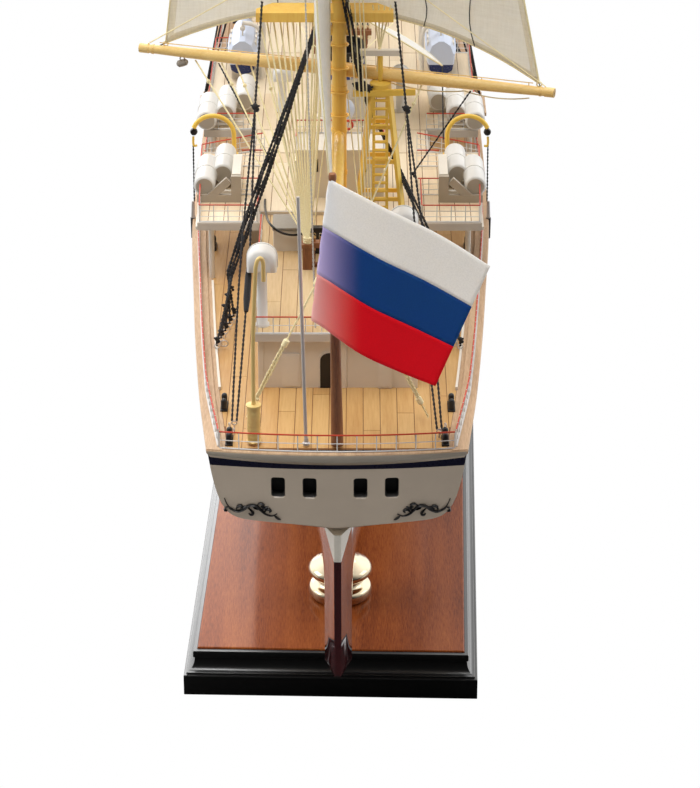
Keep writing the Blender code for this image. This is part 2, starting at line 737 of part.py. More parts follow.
def shrouds_and_backstays(at, deck_level):
    """Shrouds and backstays on both sides of a mast, down to their channels on the rail."""
    pieces = []
    heads = [SHROUD_HEAD] * len(SHROUD_FEET) + list(STAY_HEADS)
    rail_top = CAP_THICK - DECK_THICK + 2 * GAP
    for side in (-1, 1):
        for abaft, height in zip(SHROUD_FEET + BACKSTAY_FEET, heads):
            y = at - abaft
            foot = (side * (deck_half(y) + CHANNEL_OUT), y, deck_height(y) + rail_top + 0.6)
            pieces.append(rope(foot, (side * 0.7, at - 1.0, deck_level + height)))
        board = strip([at - BACKSTAY_FEET[-1] - 1.7, at - 17, at - SHROUD_FEET[0] + 1.7],
                      lambda y: side * (deck_half(y) - 1.2),
                      lambda y: side * (deck_half(y) + CHANNEL_OUT + 1.3),
                      lambda y: deck_height(y) + rail_top,
                      lambda y: deck_height(y) + rail_top + CHANNEL_THICK)
        pieces.append(flipped(board) if side > 0 else board)
    return pieces


def stays(at, deck_level, heads, ends):
    """Stays from the fore side of a mast down to the points that they lead to."""
    return [rope((0, at + 0.8, deck_level + height), end) for height, end in zip(heads, ends)]


def mast(name, at, foot, truck, top, yards, carried):
    """A pole mast with its top, crosstrees, yards and the other pieces that it carries."""
    levels = [0, 0.25, 0.45, 0.65, 0.85, 1.0]
    points = [(0, at, foot + (truck - foot) * s) for s in levels]
    pieces = [rod(points, [mast_radius(s) for s in levels], 10)]
    height, port, starboard = top
    pieces.append(prism([(-port, at - 1.4), (starboard, at - 1.4), (starboard, at + 3),
                         (starboard - 5, at + 9), (-port + 5, at + 9), (-port, at + 3)],
                        height - 2.6, height))
    high = foot + (truck - foot) * 0.62
    pieces.append(prism([(-9, at - 0.8), (9, at - 0.8), (9, at + 2.2), (-9, at + 2.2)],
                        high - 1.2, high))
    for level, length in yards:
        share = (level - foot) / (truck - foot)
        ahead = mast_radius(share) + 1.6
        thick = length * YARD_THICK / 2
        spots = []
        radii = []
        for s, r in ((-1, 0.55), (-0.5, 0.88), (0, 1), (0.5, 0.88), (1, 0.55)):
            x, y = yard_spot(at, ahead, s * length / 2)
            spots.append((x, y, level))
            radii.append(thick * r)
        pieces.append(rod(spots, radii, 8))
        pieces.append(box((-1.1, at, level - 1.2), (1.1, at + ahead, level + 1.2)))
    fused(name, pieces + carried, YELLOW)


def square_sail(name, at, ahead, head, foot, head_half, foot_half, arch, belly):
    """A braced square sail: straight head, arched foot, bellied forward."""
    grid = []
    rows, cols = 5, 8
    for i in range(rows + 1):
        v = i / rows
        half = head_half + (foot_half - head_half) * v
        line = []
        for j in range(cols + 1):
            u = 2 * j / cols - 1
            z = head + (foot - head) * v + arch * (1 - u * u) * v**1.5
            out = belly * (1 - u * u) * math.sin(math.pi * (0.72 * v))
            x, y = yard_spot(at, ahead + out, u * half)
            line.append((x, y, z))
        grid.append(line)
    thing = shape(name, *sheet(grid, SAIL_THICK), LINEN)
    shade(thing, 60)


SAIL_NAMES = ["course", "topsail_lower", "topsail_upper", "topgallant", "royal"]
MAIN_YARDS = [(96, 156), (138, 138), (176, 128), (220, 106), (260, 84)]
MIZZEN_YARDS = [(73, 138), (124, 120), (159, 112), (199, 94), (236, 74)]


def mast_side(at, foot, truck, height):
    """A point just clear of a mast's after side, where a stay from the next mast ends."""
    radius = mast_radius((height - foot) / (truck - foot))
    return (0, at - radius - GAP - 0.2, height)


def standing_rigging():
    """What each mast carries besides its yards, under the mast's name."""
    high_foot = BOAT_DECK + GAP
    main_side = [mast_side(MAIN_AT, high_foot, MAIN_TRUCK, MAIN_DECK + h) for h in STAY_FEET]
    fore_foot = deck_height(FORE_AT) + GAP
    fore_side = [mast_side(FORE_AT, fore_foot, FORE_TRUCK, FORE_DECK + h) for h in STAY_FEET]
    spar_end = deck_height(BOW_AT) + 46.4
    ahead = [(0, 658, deck_height(658) + 0.9), (0, 796.6, spar_end), (0, 799, spar_end + 0.9)]
    return {
        "mizzen": (fife_rail(MIZZEN_AT, high_foot)
                   + stays(MIZZEN_AT, POOP, MIZZEN_STAY_HEADS, main_side)),
        "main": (shrouds_and_backstays(MAIN_AT, MAIN_DECK)
                 + stays(MAIN_AT, MAIN_DECK, STAY_HEADS, fore_side)),
        "fore": (shrouds_and_backstays(FORE_AT, FORE_DECK)
                 + stays(FORE_AT, FORE_DECK, (SHROUD_HEAD,) + STAY_HEADS[1:], ahead))}


def square_rig():
    high_foot = BOAT_DECK + GAP
    carried = standing_rigging()
    for word, at, foot, truck, top, deck_level, yards in (
            ("mizzen", MIZZEN_AT, high_foot, MIZZEN_TRUCK, (POOP + 95, 26, 17), POOP,
             MIZZEN_YARDS),
            ("main", MAIN_AT, high_foot, MAIN_TRUCK, (MAIN_DECK + 118, 19, 19), MAIN_DECK,
             MAIN_YARDS),
            ("fore", FORE_AT, deck_height(FORE_AT) + GAP, FORE_TRUCK,
             (FORE_DECK + 118, 19, 19), FORE_DECK, MAIN_YARDS)):
        levels = [(deck_level + h, length) for h, length in yards]
        mast("mast_" + word, at, foot, truck, top, levels, carried[word])
        for i, (level, length) in enumerate(levels):
            share = (level - foot) / (truck - foot)
            ahead = mast_radius(share) + 2.4
            if i == 0:
                if word == "mizzen":
                    continue
                below, foot_length, arch, belly = deck_level + 51, 0.92 * length, 8, 12
            else:
                below = levels[i - 1][0] + 4.5
                foot_length = levels[i - 1][1] * 0.9
                arch, belly = (20.5, 9) if i == 1 else (7, 8)
            head = level - length * YARD_THICK / 2 - 0.35
            square_sail(SAIL_NAMES[i] + "_" + word, at, ahead, head, below,
                        length * 0.45, foot_length / 2, arch, belly)


def stay_sail(name, head, tack, clew, sail_from, sail_to, belly):
    """A three-cornered sail with the stay that its luff is hanked to."""
    head_v, tack_v, clew_v = Vector(head), Vector(tack), Vector(clew)
    top = head_v.lerp(tack_v, sail_from)
    low = head_v.lerp(tack_v, sail_to)
    grid = []
    rows, cols = 6, 5
    for i in range(rows + 1):
        v = 0.05 + 0.95 * i / rows
        luff = top.lerp(low, v)
        leech = top.lerp(clew_v, v)
        line = []
        for j in range(cols + 1):
            u = j / cols
            spot = luff.lerp(leech, u)
            spot.x += belly * math.sin(math.pi * u) * v
            line.append(tuple(spot))
        grid.append(line)
    cloth = sheet(grid, SAIL_THICK)
    rope = rod([head, tack], 0.55, 6)
    thing = fused(name, [cloth, rope], LINEN)
    shade(thing, 60)


def fore_and_aft_rig():
    stay_sail("staysail_mizzen", (0, MIZZEN_AT + 9.7, POOP + 93.7), (0, 311, BOAT_DECK + 12),
              (35, 205, POOP + 46), 0.30, 0.86, 5)
    stay_sail("staysail_main", (0, MAIN_AT + 9.7, MAIN_DECK + 116.7),
              (0, 492, FORE_DECK + 14), (33, 405, MAIN_DECK + 42), 0.30, 0.88, 6)
    bow = deck_height(BOW_AT)
    tip = (0, 800, bow + 45)
    stay_sail("jib_inner", (0, FORE_AT + 2.7, FORE_DECK + 146), (0, 742, bow + 30.5),
              (24, 590, FORE_DECK + 40), 0.22, 0.93, 6)
    stay_sail("jib_outer", (0, FORE_AT + 2.5, FORE_DECK + 184), (0, 792, bow + 46.5),
              (26, 640, FORE_DECK + 52), 0.24, 0.93, 6)
    spar = rod([(0, 668, bow + 3), (0, 720, bow + 20), tip], [3.2, 2.6, 1.1], 10)
    solid("bowsprit", spar, YELLOW)


def spanker():
    """Boom, gaff and sail, which swing together about the mizzen mast."""
    axis = place(0, MIZZEN_AT, 0)
    fore = MIZZEN_AT - 3.1
    boom = rod([(0, fore, BOOM_HEIGHT), (0, 90, BOOM_HEIGHT + 0.5), (0, 22, BOOM_HEIGHT + 2)],
               [1.3, 1.7, 1.0])
    solid("spanker_boom", boom, YELLOW, axis)
    gaff = rod([(0, fore, GAFF_THROAT), (0, 85, GAFF_THROAT + 16), (0, 44, GAFF_THROAT + 34)],
               [1.1, 1.3, 0.8])
    solid("spanker_gaff", gaff, YELLOW, axis)
    grid = []
    rows, cols = 6, 5
    for i in range(rows + 1):
        v = i / rows
        line = []
        for j in range(cols + 1):
            u = j / cols
            low_y = MIZZEN_AT - 5 - u * 86
            high_y = MIZZEN_AT - 5 - u * 66
            low_z = BOOM_HEIGHT + 2.4 + (MIZZEN_AT - low_y) * 0.02
            high_z = GAFF_THROAT - 1.8 + (MIZZEN_AT - 3.1 - high_y) * 0.447
            y = low_y + (high_y - low_y) * v
            z = low_z + (high_z - low_z) * v
            x = 3.0 * math.sin(math.pi * u) * math.sin(math.pi * v) - 0.4
            line.append((x, y, z))
        grid.append(line)
    thing = shape("spanker_sail", *sheet(grid, SAIL_THICK), LINEN, axis)
    shade(thing, 60)


base()
pedestals()
hull()
deck()
cap_rails()
railings()
rudder()
houses()
tower()
cowl_vents()
stern_fittings()
ensign()
rafts()
lifeboats()
square_rig()
fore_and_aft_rig()
spanker()
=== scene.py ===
"""The looks of the training ship model: finishes, fine fittings, sails and rigging.

Lengths along the ship are counted forward from the transom, and heights from the bottom
of the keel, both in millimetres. The mizzen mast and the keel of the CAD frame say where
that is in the world.
"""
import json
import math

import bpy
from mathutils import Matrix, Vector, geometry
import numpy as np


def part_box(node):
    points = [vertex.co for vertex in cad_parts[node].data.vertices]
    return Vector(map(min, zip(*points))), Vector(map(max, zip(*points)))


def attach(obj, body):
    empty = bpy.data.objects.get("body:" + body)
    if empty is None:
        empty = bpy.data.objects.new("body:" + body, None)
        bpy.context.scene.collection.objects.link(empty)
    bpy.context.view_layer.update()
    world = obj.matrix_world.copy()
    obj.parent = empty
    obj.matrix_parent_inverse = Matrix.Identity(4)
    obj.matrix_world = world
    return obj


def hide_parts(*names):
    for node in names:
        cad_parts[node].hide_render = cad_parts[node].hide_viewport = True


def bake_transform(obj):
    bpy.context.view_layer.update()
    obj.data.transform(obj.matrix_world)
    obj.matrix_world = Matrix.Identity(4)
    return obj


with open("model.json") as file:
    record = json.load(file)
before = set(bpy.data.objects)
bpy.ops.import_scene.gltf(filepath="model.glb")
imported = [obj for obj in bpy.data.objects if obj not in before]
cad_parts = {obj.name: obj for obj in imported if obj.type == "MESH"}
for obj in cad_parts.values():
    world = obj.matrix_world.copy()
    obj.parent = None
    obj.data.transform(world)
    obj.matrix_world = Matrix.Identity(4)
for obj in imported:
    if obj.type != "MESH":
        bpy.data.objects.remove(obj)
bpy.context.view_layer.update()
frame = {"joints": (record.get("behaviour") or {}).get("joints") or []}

# The hull's lines, as pairs of a place along the ship and a size there
MM = 0.001
WATERLINE = 47.0
STERNPOST_AT = 36.0
BOW_AT = 697.0
TRANSOM_BOW = 3.0
TRANSOM_RAKE = 0.12
CAP_OVERHANG = 0.5
CAP_WIDTH = 4.4
CAP_LOW = 0.9
CAP_HIGH = 0.7
MARGIN = 1.5
SHEER = [(0, 88), (60, 87.4), (130, 86), (220, 82.5), (350, 80.5), (450, 82), (560, 87),
         (640, 94), (697, 101)]
DECK_HALF = [(0, 37.5), (40, 41.5), (110, 46.5), (200, 51), (300, 51.5), (420, 51.5),
             (500, 49), (580, 40), (640, 24.5), (680, 8.5), (697, 1.2)]
WATER_HALF = [(36, 4.2), (60, 9.5), (100, 25), (150, 38), (220, 46), (300, 48.5),
              (400, 48.5), (480, 45), (560, 31), (620, 14), (664, 1.2)]
KEEL_HALF = [(36, 4.2), (90, 3.6), (220, 1.8), (697, 1.2)]
COUNTER = [(0, 65), (12, 59), (24, 52), (36, 47)]
STEM = [(600, 0), (630, 4), (650, 22), (664, 47), (676, 64), (688, 84), (697, 100)]
FULL_BELOW = [(36, 2.2), (100, 1.4), (180, 0.6), (300, 0.33), (420, 0.33), (520, 0.55),
              (600, 1.0), (664, 1.2)]
FULL_ABOVE = [(0, 0.08), (14, 0.22), (36, 0.4), (80, 0.5), (150, 0.6), (250, 0.8),
              (600, 1.3), (697, 1.3)]

# Decks, masts and sails
POOP = 88.0
BOAT_DECK = 107.0
MAIN_DECK = 81.0
FORE_DECK = 84.0
MIZZEN_AT = 120.0
MAIN_AT = 324.0
FORE_AT = 504.0
BRACE = math.radians(18)
SIDES = (("port", -1), ("starboard", 1))

mast_foot = next(Vector(j["pos_m"]) for j in frame["joints"] if j["name"] == "spanker_swing")
keel_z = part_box("hull_bottom")[0].z


def place(x, y, z):
    """A point of the ship, in millimetres, as a world point in metres."""
    return Vector((mast_foot.x + x * MM, mast_foot.y + (y - MIZZEN_AT) * MM, keel_z + z * MM))


def through(points, at):
    """The value at a position on a smooth curve through (position, value) points."""
    if at <= points[0][0]:
        return points[0][1]
    if at >= points[-1][0]:
        return points[-1][1]
    slopes = [(b[1] - a[1]) / (b[0] - a[0]) for a, b in zip(points, points[1:])]
    i = 0
    while at > points[i + 1][0]:
        i += 1

    def tangent(k):
        if k == 0:
            return slopes[0]
        if k == len(points) - 1:
            return slopes[-1]
        before, after = slopes[k - 1], slopes[k]
        if before * after <= 0:
            return 0.0
        return 2 * before * after / (before + after)

    span = points[i + 1][0] - points[i][0]
    t = (at - points[i][0]) / span
    m0 = tangent(i) * span
    m1 = tangent(i + 1) * span
    return ((2 * t**3 - 3 * t**2 + 1) * points[i][1] + (t**3 - 2 * t**2 + t) * m0
            + (3 * t**2 - 2 * t**3) * points[i + 1][1] + (t**3 - t**2) * m1)


def deck_height(y):
    return through(SHEER, y)


def deck_half(y):
    return through(DECK_HALF, y)


def plan_y(y, x, z):
    """Position along the ship with the transom's rake and its bow in plan."""
    fade = max(0.0, 1 - y / STERNPOST_AT)
    across = 1 - (x / DECK_HALF[0][1]) ** 2
    return y + fade * (TRANSOM_RAKE * (SHEER[0][1] - z) - TRANSOM_BOW * across)


def sag(x, y):
    """How far the counter's bottom hangs below its corners."""
    return 2.3 * max(0.0, 1 - abs(x) / 30) ** 1.4 * max(0.0, 1 - y / STERNPOST_AT)


def hull_point(x, y, z):
    return (x, plan_y(y, x, z), z - sag(x, y))


def steps(start, end, count):
    return [start + (end - start) * i / count for i in range(count + 1)]


def straight(a, b, count):
    """Evenly spaced points from one point to another."""
    return list(zip(*(steps(p, q, count) for p, q in zip(a, b))))


def angles(count):
    return [2 * math.pi * k / count for k in range(count)]


def upward(z):
    return Vector((0, 0, z))


def curve_through(points, step=2.0):
    """A smooth path through points, with a point about every step."""
    spots = [Vector(p) for p in points]
    if len(spots) == 2:
        count = max(1, round((spots[1] - spots[0]).length / step))
        return [spots[0].lerp(spots[1], i / count) for i in range(count + 1)]
    path = []
    for i in range(len(spots) - 1):
        before = spots[max(i - 1, 0)]
        a, b = spots[i], spots[i + 1]
        after = spots[min(i + 2, len(spots) - 1)]
        count = max(2, round((b - a).length / step))
        for k in range(count):
            t = k / count
            path.append(0.5 * (2 * a + (b - before) * t
                               + (2 * before - 5 * a + 4 * b - after) * t**2
                               + (3 * a - before - 3 * b + after) * t**3))
    path.append(spots[-1])
    return path


def hanging(a, b, slack, count=8):
    """A slack line between two points, sagging by that much at its middle."""
    a, b = Vector(a), Vector(b)
    return [a.lerp(b, t) - upward(4 * slack * t * (1 - t)) for t in steps(0, 1, count)]


NEARLY_UPRIGHT = 0.9


def square_axes(axis, other):
    """An axis as a unit vector, and two unit vectors square to it and to each other."""
    axis = Vector(axis).normalized()
    helper = upward(1) if abs(axis.z) < NEARLY_UPRIGHT else Vector(other)
    side = helper.cross(axis).normalized()
    return axis, side, axis.cross(side)


def frames_along(path):
    """For each point of a path, a side and an up vector square to it, without twist."""
    found = []
    side = None
    for i, here in enumerate(path):
        along = path[min(i + 1, len(path) - 1)] - path[max(i - 1, 0)]
        along = along.normalized()
        if side is not None:
            side = side - along * side.dot(along)
        if side is None or side.length < 0.3:
            side = along.cross(upward(1) if abs(along.z) < NEARLY_UPRIGHT else Vector((1, 0, 0)))
        side = side.normalized()
        found.append((here, side, side.cross(along)))
    return found


def add_object(name, data):
    thing = bpy.data.objects.new(name, data)
    bpy.context.scene.collection.objects.link(thing)
    return thing


def thicken(thing, thickness):
    """Gives a cloth its thickness, in millimetres."""
    solid = thing.modifiers.new("thickness", "SOLIDIFY")
    solid.thickness = thickness * MM
    solid.offset = 0.0


class Skin:
    """Points and faces gathered for one piece, in ship millimetres."""

    def __init__(self):
        self.points = []
        self.faces = []
        self.inks = []
        self.ink = 0

    def add(self, points, faces):
        start = len(self.points)
        self.points.extend(points)
        self.faces.extend([start + k for k in face] for face in faces)
        self.inks.extend([self.ink] * len(faces))

    def rows(self, rows, closed=False, capped=False):
        """Quads between rows of points, each closed into a ring or left open."""
        count = len(rows[0])
        faces = []
        for r in range(len(rows) - 1):
            for k in range(count if closed else count - 1):
                n = (k + 1) % count
                faces.append((r * count + k, r * count + n, (r + 1) * count + n,
                              (r + 1) * count + k))
        if capped:
            faces.append(tuple(reversed(range(count))))
            faces.append(tuple((len(rows) - 1) * count + k for k in range(count)))
        self.add([p for row in rows for p in row], faces)

    def loft(self, rings):
        """A solid through closed rings, with both ends capped."""
        self.rows(rings, closed=True, capped=True)

    def cap(self, ring, flipped=False):
        """One flat face over a ring."""
        face = range(len(ring))
        self.add(ring, [tuple(reversed(face) if flipped else face)])

    def tube(self, path, radius, sides=6, squash=1.0):
        """A round bar along a path, with one radius or one at each point."""
        spots = [Vector(p) for p in path]
        rings = []
        for i, (here, side, up) in enumerate(frames_along(spots)):
            r = radius[i] if isinstance(radius, (list, tuple)) else radius
            rings.append([here + side * (r * math.cos(a)) - up * (r * squash * math.sin(a))
                          for a in angles(sides)])
        self.loft(rings)

    def laid(self, path, radius, pitch=2.6, sides=5):
        """A laid rope: two strands that wind round its path."""
        length = sum((b - a).length for a, b in zip(path, path[1:]))
        count = max(4, round(length / pitch * 6))
        line = resampled(path, count)
        turned = frames_along(line)
        for s in range(2):
            strand = []
            for i, (here, side, up) in enumerate(turned):
                a = 2 * math.pi * (i / 6 + s / 2)
                strand.append(here + (side * math.cos(a) + up * math.sin(a)) * radius * 0.5)
            self.tube(strand, radius * 0.56, sides)

    def turned(self, profile, centre, sides=20, axis=(0, 0, 1)):
        """A turned piece: (radius, distance) pairs along an axis."""
        axis, side, up = square_axes(axis, (0, 1, 0))
        rings = []
        for radius, along in profile:
            middle = Vector(centre) + axis * along
            rings.append([middle + (side * math.cos(a) + up * math.sin(a)) * radius
                          for a in angles(sides)])
        self.loft(rings)

    def ball(self, centre, radius, sides=8):
        profile = [(radius * math.sin(a), -radius * math.cos(a))
                   for a in steps(0.12, math.pi - 0.12, 5)]
        self.turned(profile, centre, sides)

    def ring(self, centre, radius, thick, axis=(0, 1, 0), around=14, sides=5):
        """A ring of round wire."""
        axis, side, up = square_axes(axis, (1, 0, 0))
        rows = []
        for a in angles(around) + [2 * math.pi]:
            out = side * math.cos(a) + up * math.sin(a)
            rows.append([Vector(centre) + out * (radius + thick * math.cos(b))
                         + axis * (thick * math.sin(b)) for b in angles(sides)])
        self.rows(rows, closed=True)

    def block(self, corner, opposite):
        """A box between two opposite corners."""
        (x0, x1), (y0, y1), (z0, z1) = (sorted(pair) for pair in zip(corner, opposite))
        self.prism([(x0, y0), (x1, y0), (x1, y1), (x0, y1)], z0, z1)

    def prism(self, outline, z0, z1):
        self.loft([[(x, y, z) for x, y in outline] for z in (z0, z1)])

    def bar(self, path, width, height):
        """A rectangular bar along a path, with its height upright."""
        spots = [Vector(p) for p in path]
        rings = []
        for i, here in enumerate(spots):
            along = spots[min(i + 1, len(spots) - 1)] - spots[max(i - 1, 0)]
            across = along.cross(upward(1)).normalized() * width / 2
            up = across.cross(along).normalized() * height / 2
            rings.append([here + across - up, here + across + up, here - across + up,
                          here - across - up])
        self.loft(rings)

    def make(self, name, materials, body="hull", slot=None, replaces=(), smooth=40, bevel=0.0):
        """The piece as an object that rides on a body, and what it stands for; its slot is not
        used.
        """
        points = np.array([tuple(p) for p in self.points]) * MM
        points += np.array(place(0, 0, 0))
        mesh = bpy.data.meshes.new(name)
        mesh.from_pydata(points.tolist(), [], self.faces)
        for material in materials if isinstance(materials, (list, tuple)) else [materials]:
            mesh.materials.append(material)
        mesh.polygons.foreach_set("material_index", self.inks)
        mesh.validate()
        if smooth:
            mesh.shade_smooth()
            mesh.set_sharp_from_angle(angle=math.radians(smooth))
        thing = add_object(name, mesh)
        if bevel:
            edge = thing.modifiers.new("bevel", "BEVEL")
            edge.width = bevel * MM
            edge.segments = 2
            edge.limit_method = "ANGLE"
            edge.harden_normals = True
        if body:
            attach(thing, body)
        if replaces:
            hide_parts(*replaces)
        return thing


def resampled(path, count):
    """The same path with evenly spaced points."""
    spots = [Vector(p) for p in path]
    lengths = [0.0]
    for a, b in zip(spots, spots[1:]):
        lengths.append(lengths[-1] + (b - a).length)
    line = []
    k = 0
    for target in steps(0, lengths[-1], count):
        while k < len(spots) - 2 and lengths[k + 1] < target:
            k += 1
        span = lengths[k + 1] - lengths[k]
        line.append(spots[k].lerp(spots[k + 1], (target - lengths[k]) / span if span else 0))
    return line


class Nodes:
    """A node tree, with short ways to add the nodes that the looks need."""

    def __init__(self, tree):
        self.tree = tree

    def put(self, node, values):
        for key, value in values.items():
            if isinstance(value, bpy.types.NodeSocket):
                self.tree.links.new(value, node.inputs[key])
            else:
                node.inputs[key].default_value = value

    def node(self, kind, inputs=None, **settings):
        made = self.tree.nodes.new(kind)
        for key, value in settings.items():
            setattr(made, key, value)
        self.put(made, inputs or {})
        return made

    def split(self, vector):
        return self.node("ShaderNodeSeparateXYZ", {"Vector": vector}).outputs

    def levels(self, value, low, high, to_low=0.0, to_high=1.0, **settings):
        return self.node("ShaderNodeMapRange", {"Value": value, "From Min": low,
                                                "From Max": high, "To Min": to_low,
                                                "To Max": to_high}, **settings).outputs["Result"]

    def sum(self, a, b, operation="ADD"):
        return self.node("ShaderNodeMath", {0: a, 1: b}, operation=operation).outputs[0]

    def product(self, a, b):
        return self.sum(a, b, "MULTIPLY")

    def weighted(self, a, b, share):
        """The mean of two values, with that share of the first."""
        return self.sum(self.product(a, share), self.product(b, 1 - share))


class Finish(Nodes):
    """A material built from a Principled shader and procedural patterns in millimetres."""

    def __init__(self, name, colour, roughness, metallic=0.0, **more):
        self.material = bpy.data.materials.new(name)
        self.material.use_nodes = True
        super().__init__(self.material.node_tree)
        self.shader = self.tree.nodes["Principled BSDF"]
        self.put(self.shader, {"Base Color": (*colour, 1), "Roughness": roughness,
                               "Metallic": metallic, **more})
        self.coordinates = self.node("ShaderNodeTexCoord").outputs["Object"]

    def per_mm(self, x, y, z):
        """Coordinates with that many pattern units in a millimetre."""
        scale = (x / MM, y / MM, z / MM)
        return self.node("ShaderNodeMapping", {"Vector": self.coordinates,
                                               "Scale": scale}).outputs["Vector"]

    def noise(self, x, y, z, detail=3.0, rough=0.55):
        """Noise with that many patches in a millimetre each way."""
        return self.node("ShaderNodeTexNoise", {"Vector": self.per_mm(x, y, z), "Scale": 1.0,
                                                "Detail": detail,
                                                "Roughness": rough}).outputs["Fac"]

    def wave(self, x, y, z, **settings):
        return self.node("ShaderNodeTexWave", {"Vector": self.per_mm(x, y, z), "Scale": 1.0,
                                               "Distortion": 0.35, "Detail": 2.0},
                         **settings).outputs["Fac"]

    def stops(self, factor, *stops):
        """A colour ramp through (position, colour) stops."""
        made = self.node("ShaderNodeValToRGB", {"Fac": factor})
        ramp = made.color_ramp
        while len(ramp.elements) < len(stops):
            ramp.elements.new(0.5)
        for element, (position, colour) in zip(ramp.elements, stops):
            element.position = position
            element.color = (*colour, 1)
        return made.outputs["Color"]

    def blended(self, a, b, factor, mode="MIX"):
        made = self.node("ShaderNodeMix", {0: factor}, data_type="RGBA", blend_type=mode)
        self.put(made, {6: a, 7: b})
        return made.outputs[2]

    def bump(self, height, depth, strength):
        made = self.node("ShaderNodeBump", {"Height": height, "Distance": depth * MM,
                                            "Strength": strength})
        self.put(self.shader, {"Normal": made.outputs["Normal"]})

    def colour(self, socket):
        self.put(self.shader, {"Base Color": socket})

    def roughness(self, socket):
        self.put(self.shader, {"Roughness": socket})


def darkened(colour, share):
    return tuple(c * share for c in colour)


def wood(name, pale, dark, roughness, along="y", grain=1.6):
    """Straight-grained wood with fine pores along one axis."""
    made = Finish(name, pale, roughness)
    fine, broad = [grain * 3.0] * 3, [0.4] * 3
    fine["xyz".index(along)] = grain * 0.16
    broad["xyz".index(along)] = 0.02
    pores = made.noise(*fine, 4, 0.65)
    waves = made.noise(*broad, 3, 0.5)
    made.colour(made.stops(made.weighted(pores, waves, 0.55), (0.36, dark), (0.62, pale)))
    made.roughness(made.levels(pores, 0.3, 0.7, roughness * 1.25, roughness * 0.85))
    made.bump(pores, 0.03, 0.5)
    return made.material


def paint(name, colour, roughness=0.4, wear=0.06, orange=0.02, **more):
    """Brushed or sprayed paint: a faint change of tone, with orange peel."""
    made = Finish(name, colour, roughness, **more)
    cloudy = made.noise(0.06, 0.06, 0.06, 4, 0.6)
    made.colour(made.stops(cloudy, (0.3, darkened(colour, 1 - 3 * wear)), (0.66, colour)))
    fine = made.noise(1.4, 1.4, 1.4, 3, 0.5)
    made.roughness(made.levels(fine, 0.3, 0.7, roughness * 0.85, roughness * 1.2))
    made.bump(fine, orange, 0.6)
    return made.material


def metal(name, colour, roughness):
    """Turned and polished metal with fine marks of the tool."""
    made = Finish(name, colour, roughness, 1.0)
    fine = made.noise(0.7, 0.7, 6, 4, 0.7)
    made.roughness(made.levels(fine, 0.3, 0.75, roughness * 0.85, roughness * 1.6))
    cloudy = made.noise(0.08, 0.08, 0.08)
    made.colour(made.stops(cloudy, (0.3, darkened(colour, 0.86)), (0.7, colour)))
    made.bump(fine, 0.008, 0.4)
    return made.material


def thread(name, colour, dark):
    """Twisted thread with its fuzz."""
    made = Finish(name, colour, 0.85, **{"Sheen Weight": 0.15})
    fuzz = made.noise(3, 3, 3, 4, 0.7)
    made.colour(made.stops(fuzz, (0.3, dark), (0.65, colour)))
    made.bump(fuzz, 0.06, 0.8)
    return made.material


CLOTH_GLOW = (1.0, 0.92, 0.8)


def linen(name, colour, dark):
    """Plain-woven cotton that glows a little with the light behind it."""
    made = Finish(name, colour, 0.9, **{"Sheen Weight": 0.1, "Sheen Roughness": 0.5,
                                        "Specular IOR Level": 0.15, "Subsurface Weight": 0.85,
                                        "Subsurface Radius": CLOTH_GLOW,
                                        "Subsurface Scale": 1.6 * MM})
    weave = made.product(made.wave(2.1, 0, 0), made.wave(0, 0, 2.3, bands_direction="Z"))
    slubs = made.noise(1.6, 1.6, 0.12, 4, 0.7)
    warp = made.noise(0.12, 0.12, 1.8, 4, 0.7)
    tone = made.sum(made.sum(slubs, warp), made.product(weave, 0.5))
    made.colour(made.stops(made.levels(tone, 0.6, 1.7), (0.1, dark), (0.8, colour)))
    made.bump(made.sum(weave, made.product(slubs, 0.8)), 0.12, 0.8)
    return made.material


TAN = wood("tan_wood", (0.62, 0.42, 0.25), (0.42, 0.265, 0.155), 0.6)
BROWN = wood("brown_wood", (0.34, 0.135, 0.052), (0.17, 0.06, 0.024), 0.42, "z", 2.0)
YELLOW = wood("yellow_spars", (1.0, 0.67, 0.15), (0.93, 0.55, 0.095), 0.42, "z", 1.4)
YELLOW_YARD = wood("yellow_yards", (0.93, 0.66, 0.26), (0.82, 0.53, 0.16), 0.42, "x", 1.4)
ORANGE = paint("yellow_lattice", (1.0, 0.66, 0.10), 0.42)
CREAM = paint("cream_hull", (0.60, 0.495, 0.385), 0.36, 0.03, 0.02, **{"Coat Weight": 0.1})
NAVY = paint("navy_stripe", (0.006, 0.006, 0.03), 0.3, 0.02)
MAROON = paint("maroon_bottom", (0.055, 0.010, 0.012), 0.12, 0.03, 0.012,
               **{"Coat Weight": 1.0, "Coat Roughness": 0.06})
BEIGE = paint("beige_moulding", (0.40, 0.345, 0.275), 0.5, 0.04)
WHITE = paint("white_paint", (0.80, 0.735, 0.63), 0.45, 0.03)
GREY = paint("grey_trim", (0.66, 0.595, 0.51), 0.5, 0.04)
GREY_COVER = paint("grey_cover", (0.34, 0.30, 0.25), 0.7, 0.05, 0.05)
# A paler copy of the hull's cream for the rudder's head: painted light, standing in for the light
# thrown up from the white floor.
CREAM_FLOOR_LIT = paint("cream_painted_floor_light", (0.85, 0.79, 0.68), 0.4, 0.03, 0.02)
PLASTIC = paint("white_plastic", (0.76, 0.74, 0.70), 0.35, 0.02)
WHITE_METAL = paint("white_railing", (0.72, 0.70, 0.67), 0.4, 0.05)
RED = paint("red_rail", (0.60, 0.055, 0.022), 0.45, 0.05)
BLACK = paint("black_fittings", (0.012, 0.011, 0.012), 0.4, 0.02)
BLACK_LACQUER = paint("black_lacquer", (0.004, 0.0035, 0.0035), 0.34, 0.02, 0.008,
                      **{"Specular IOR Level": 0.5, "Coat Weight": 1.0,
                         "Coat Roughness": 0.25})
SILL = paint("window_sill", (0.09, 0.085, 0.08), 0.5)
GLASS = paint("dark_glass", (0.01, 0.012, 0.016), 0.08, 0.0, 0.002)
SILVER = paint("steel_wire", (0.64, 0.59, 0.56), 0.34, 0.02, 0.01, metallic=0.4)
BRASS = metal("brass", (0.72, 0.60, 0.42), 0.08)
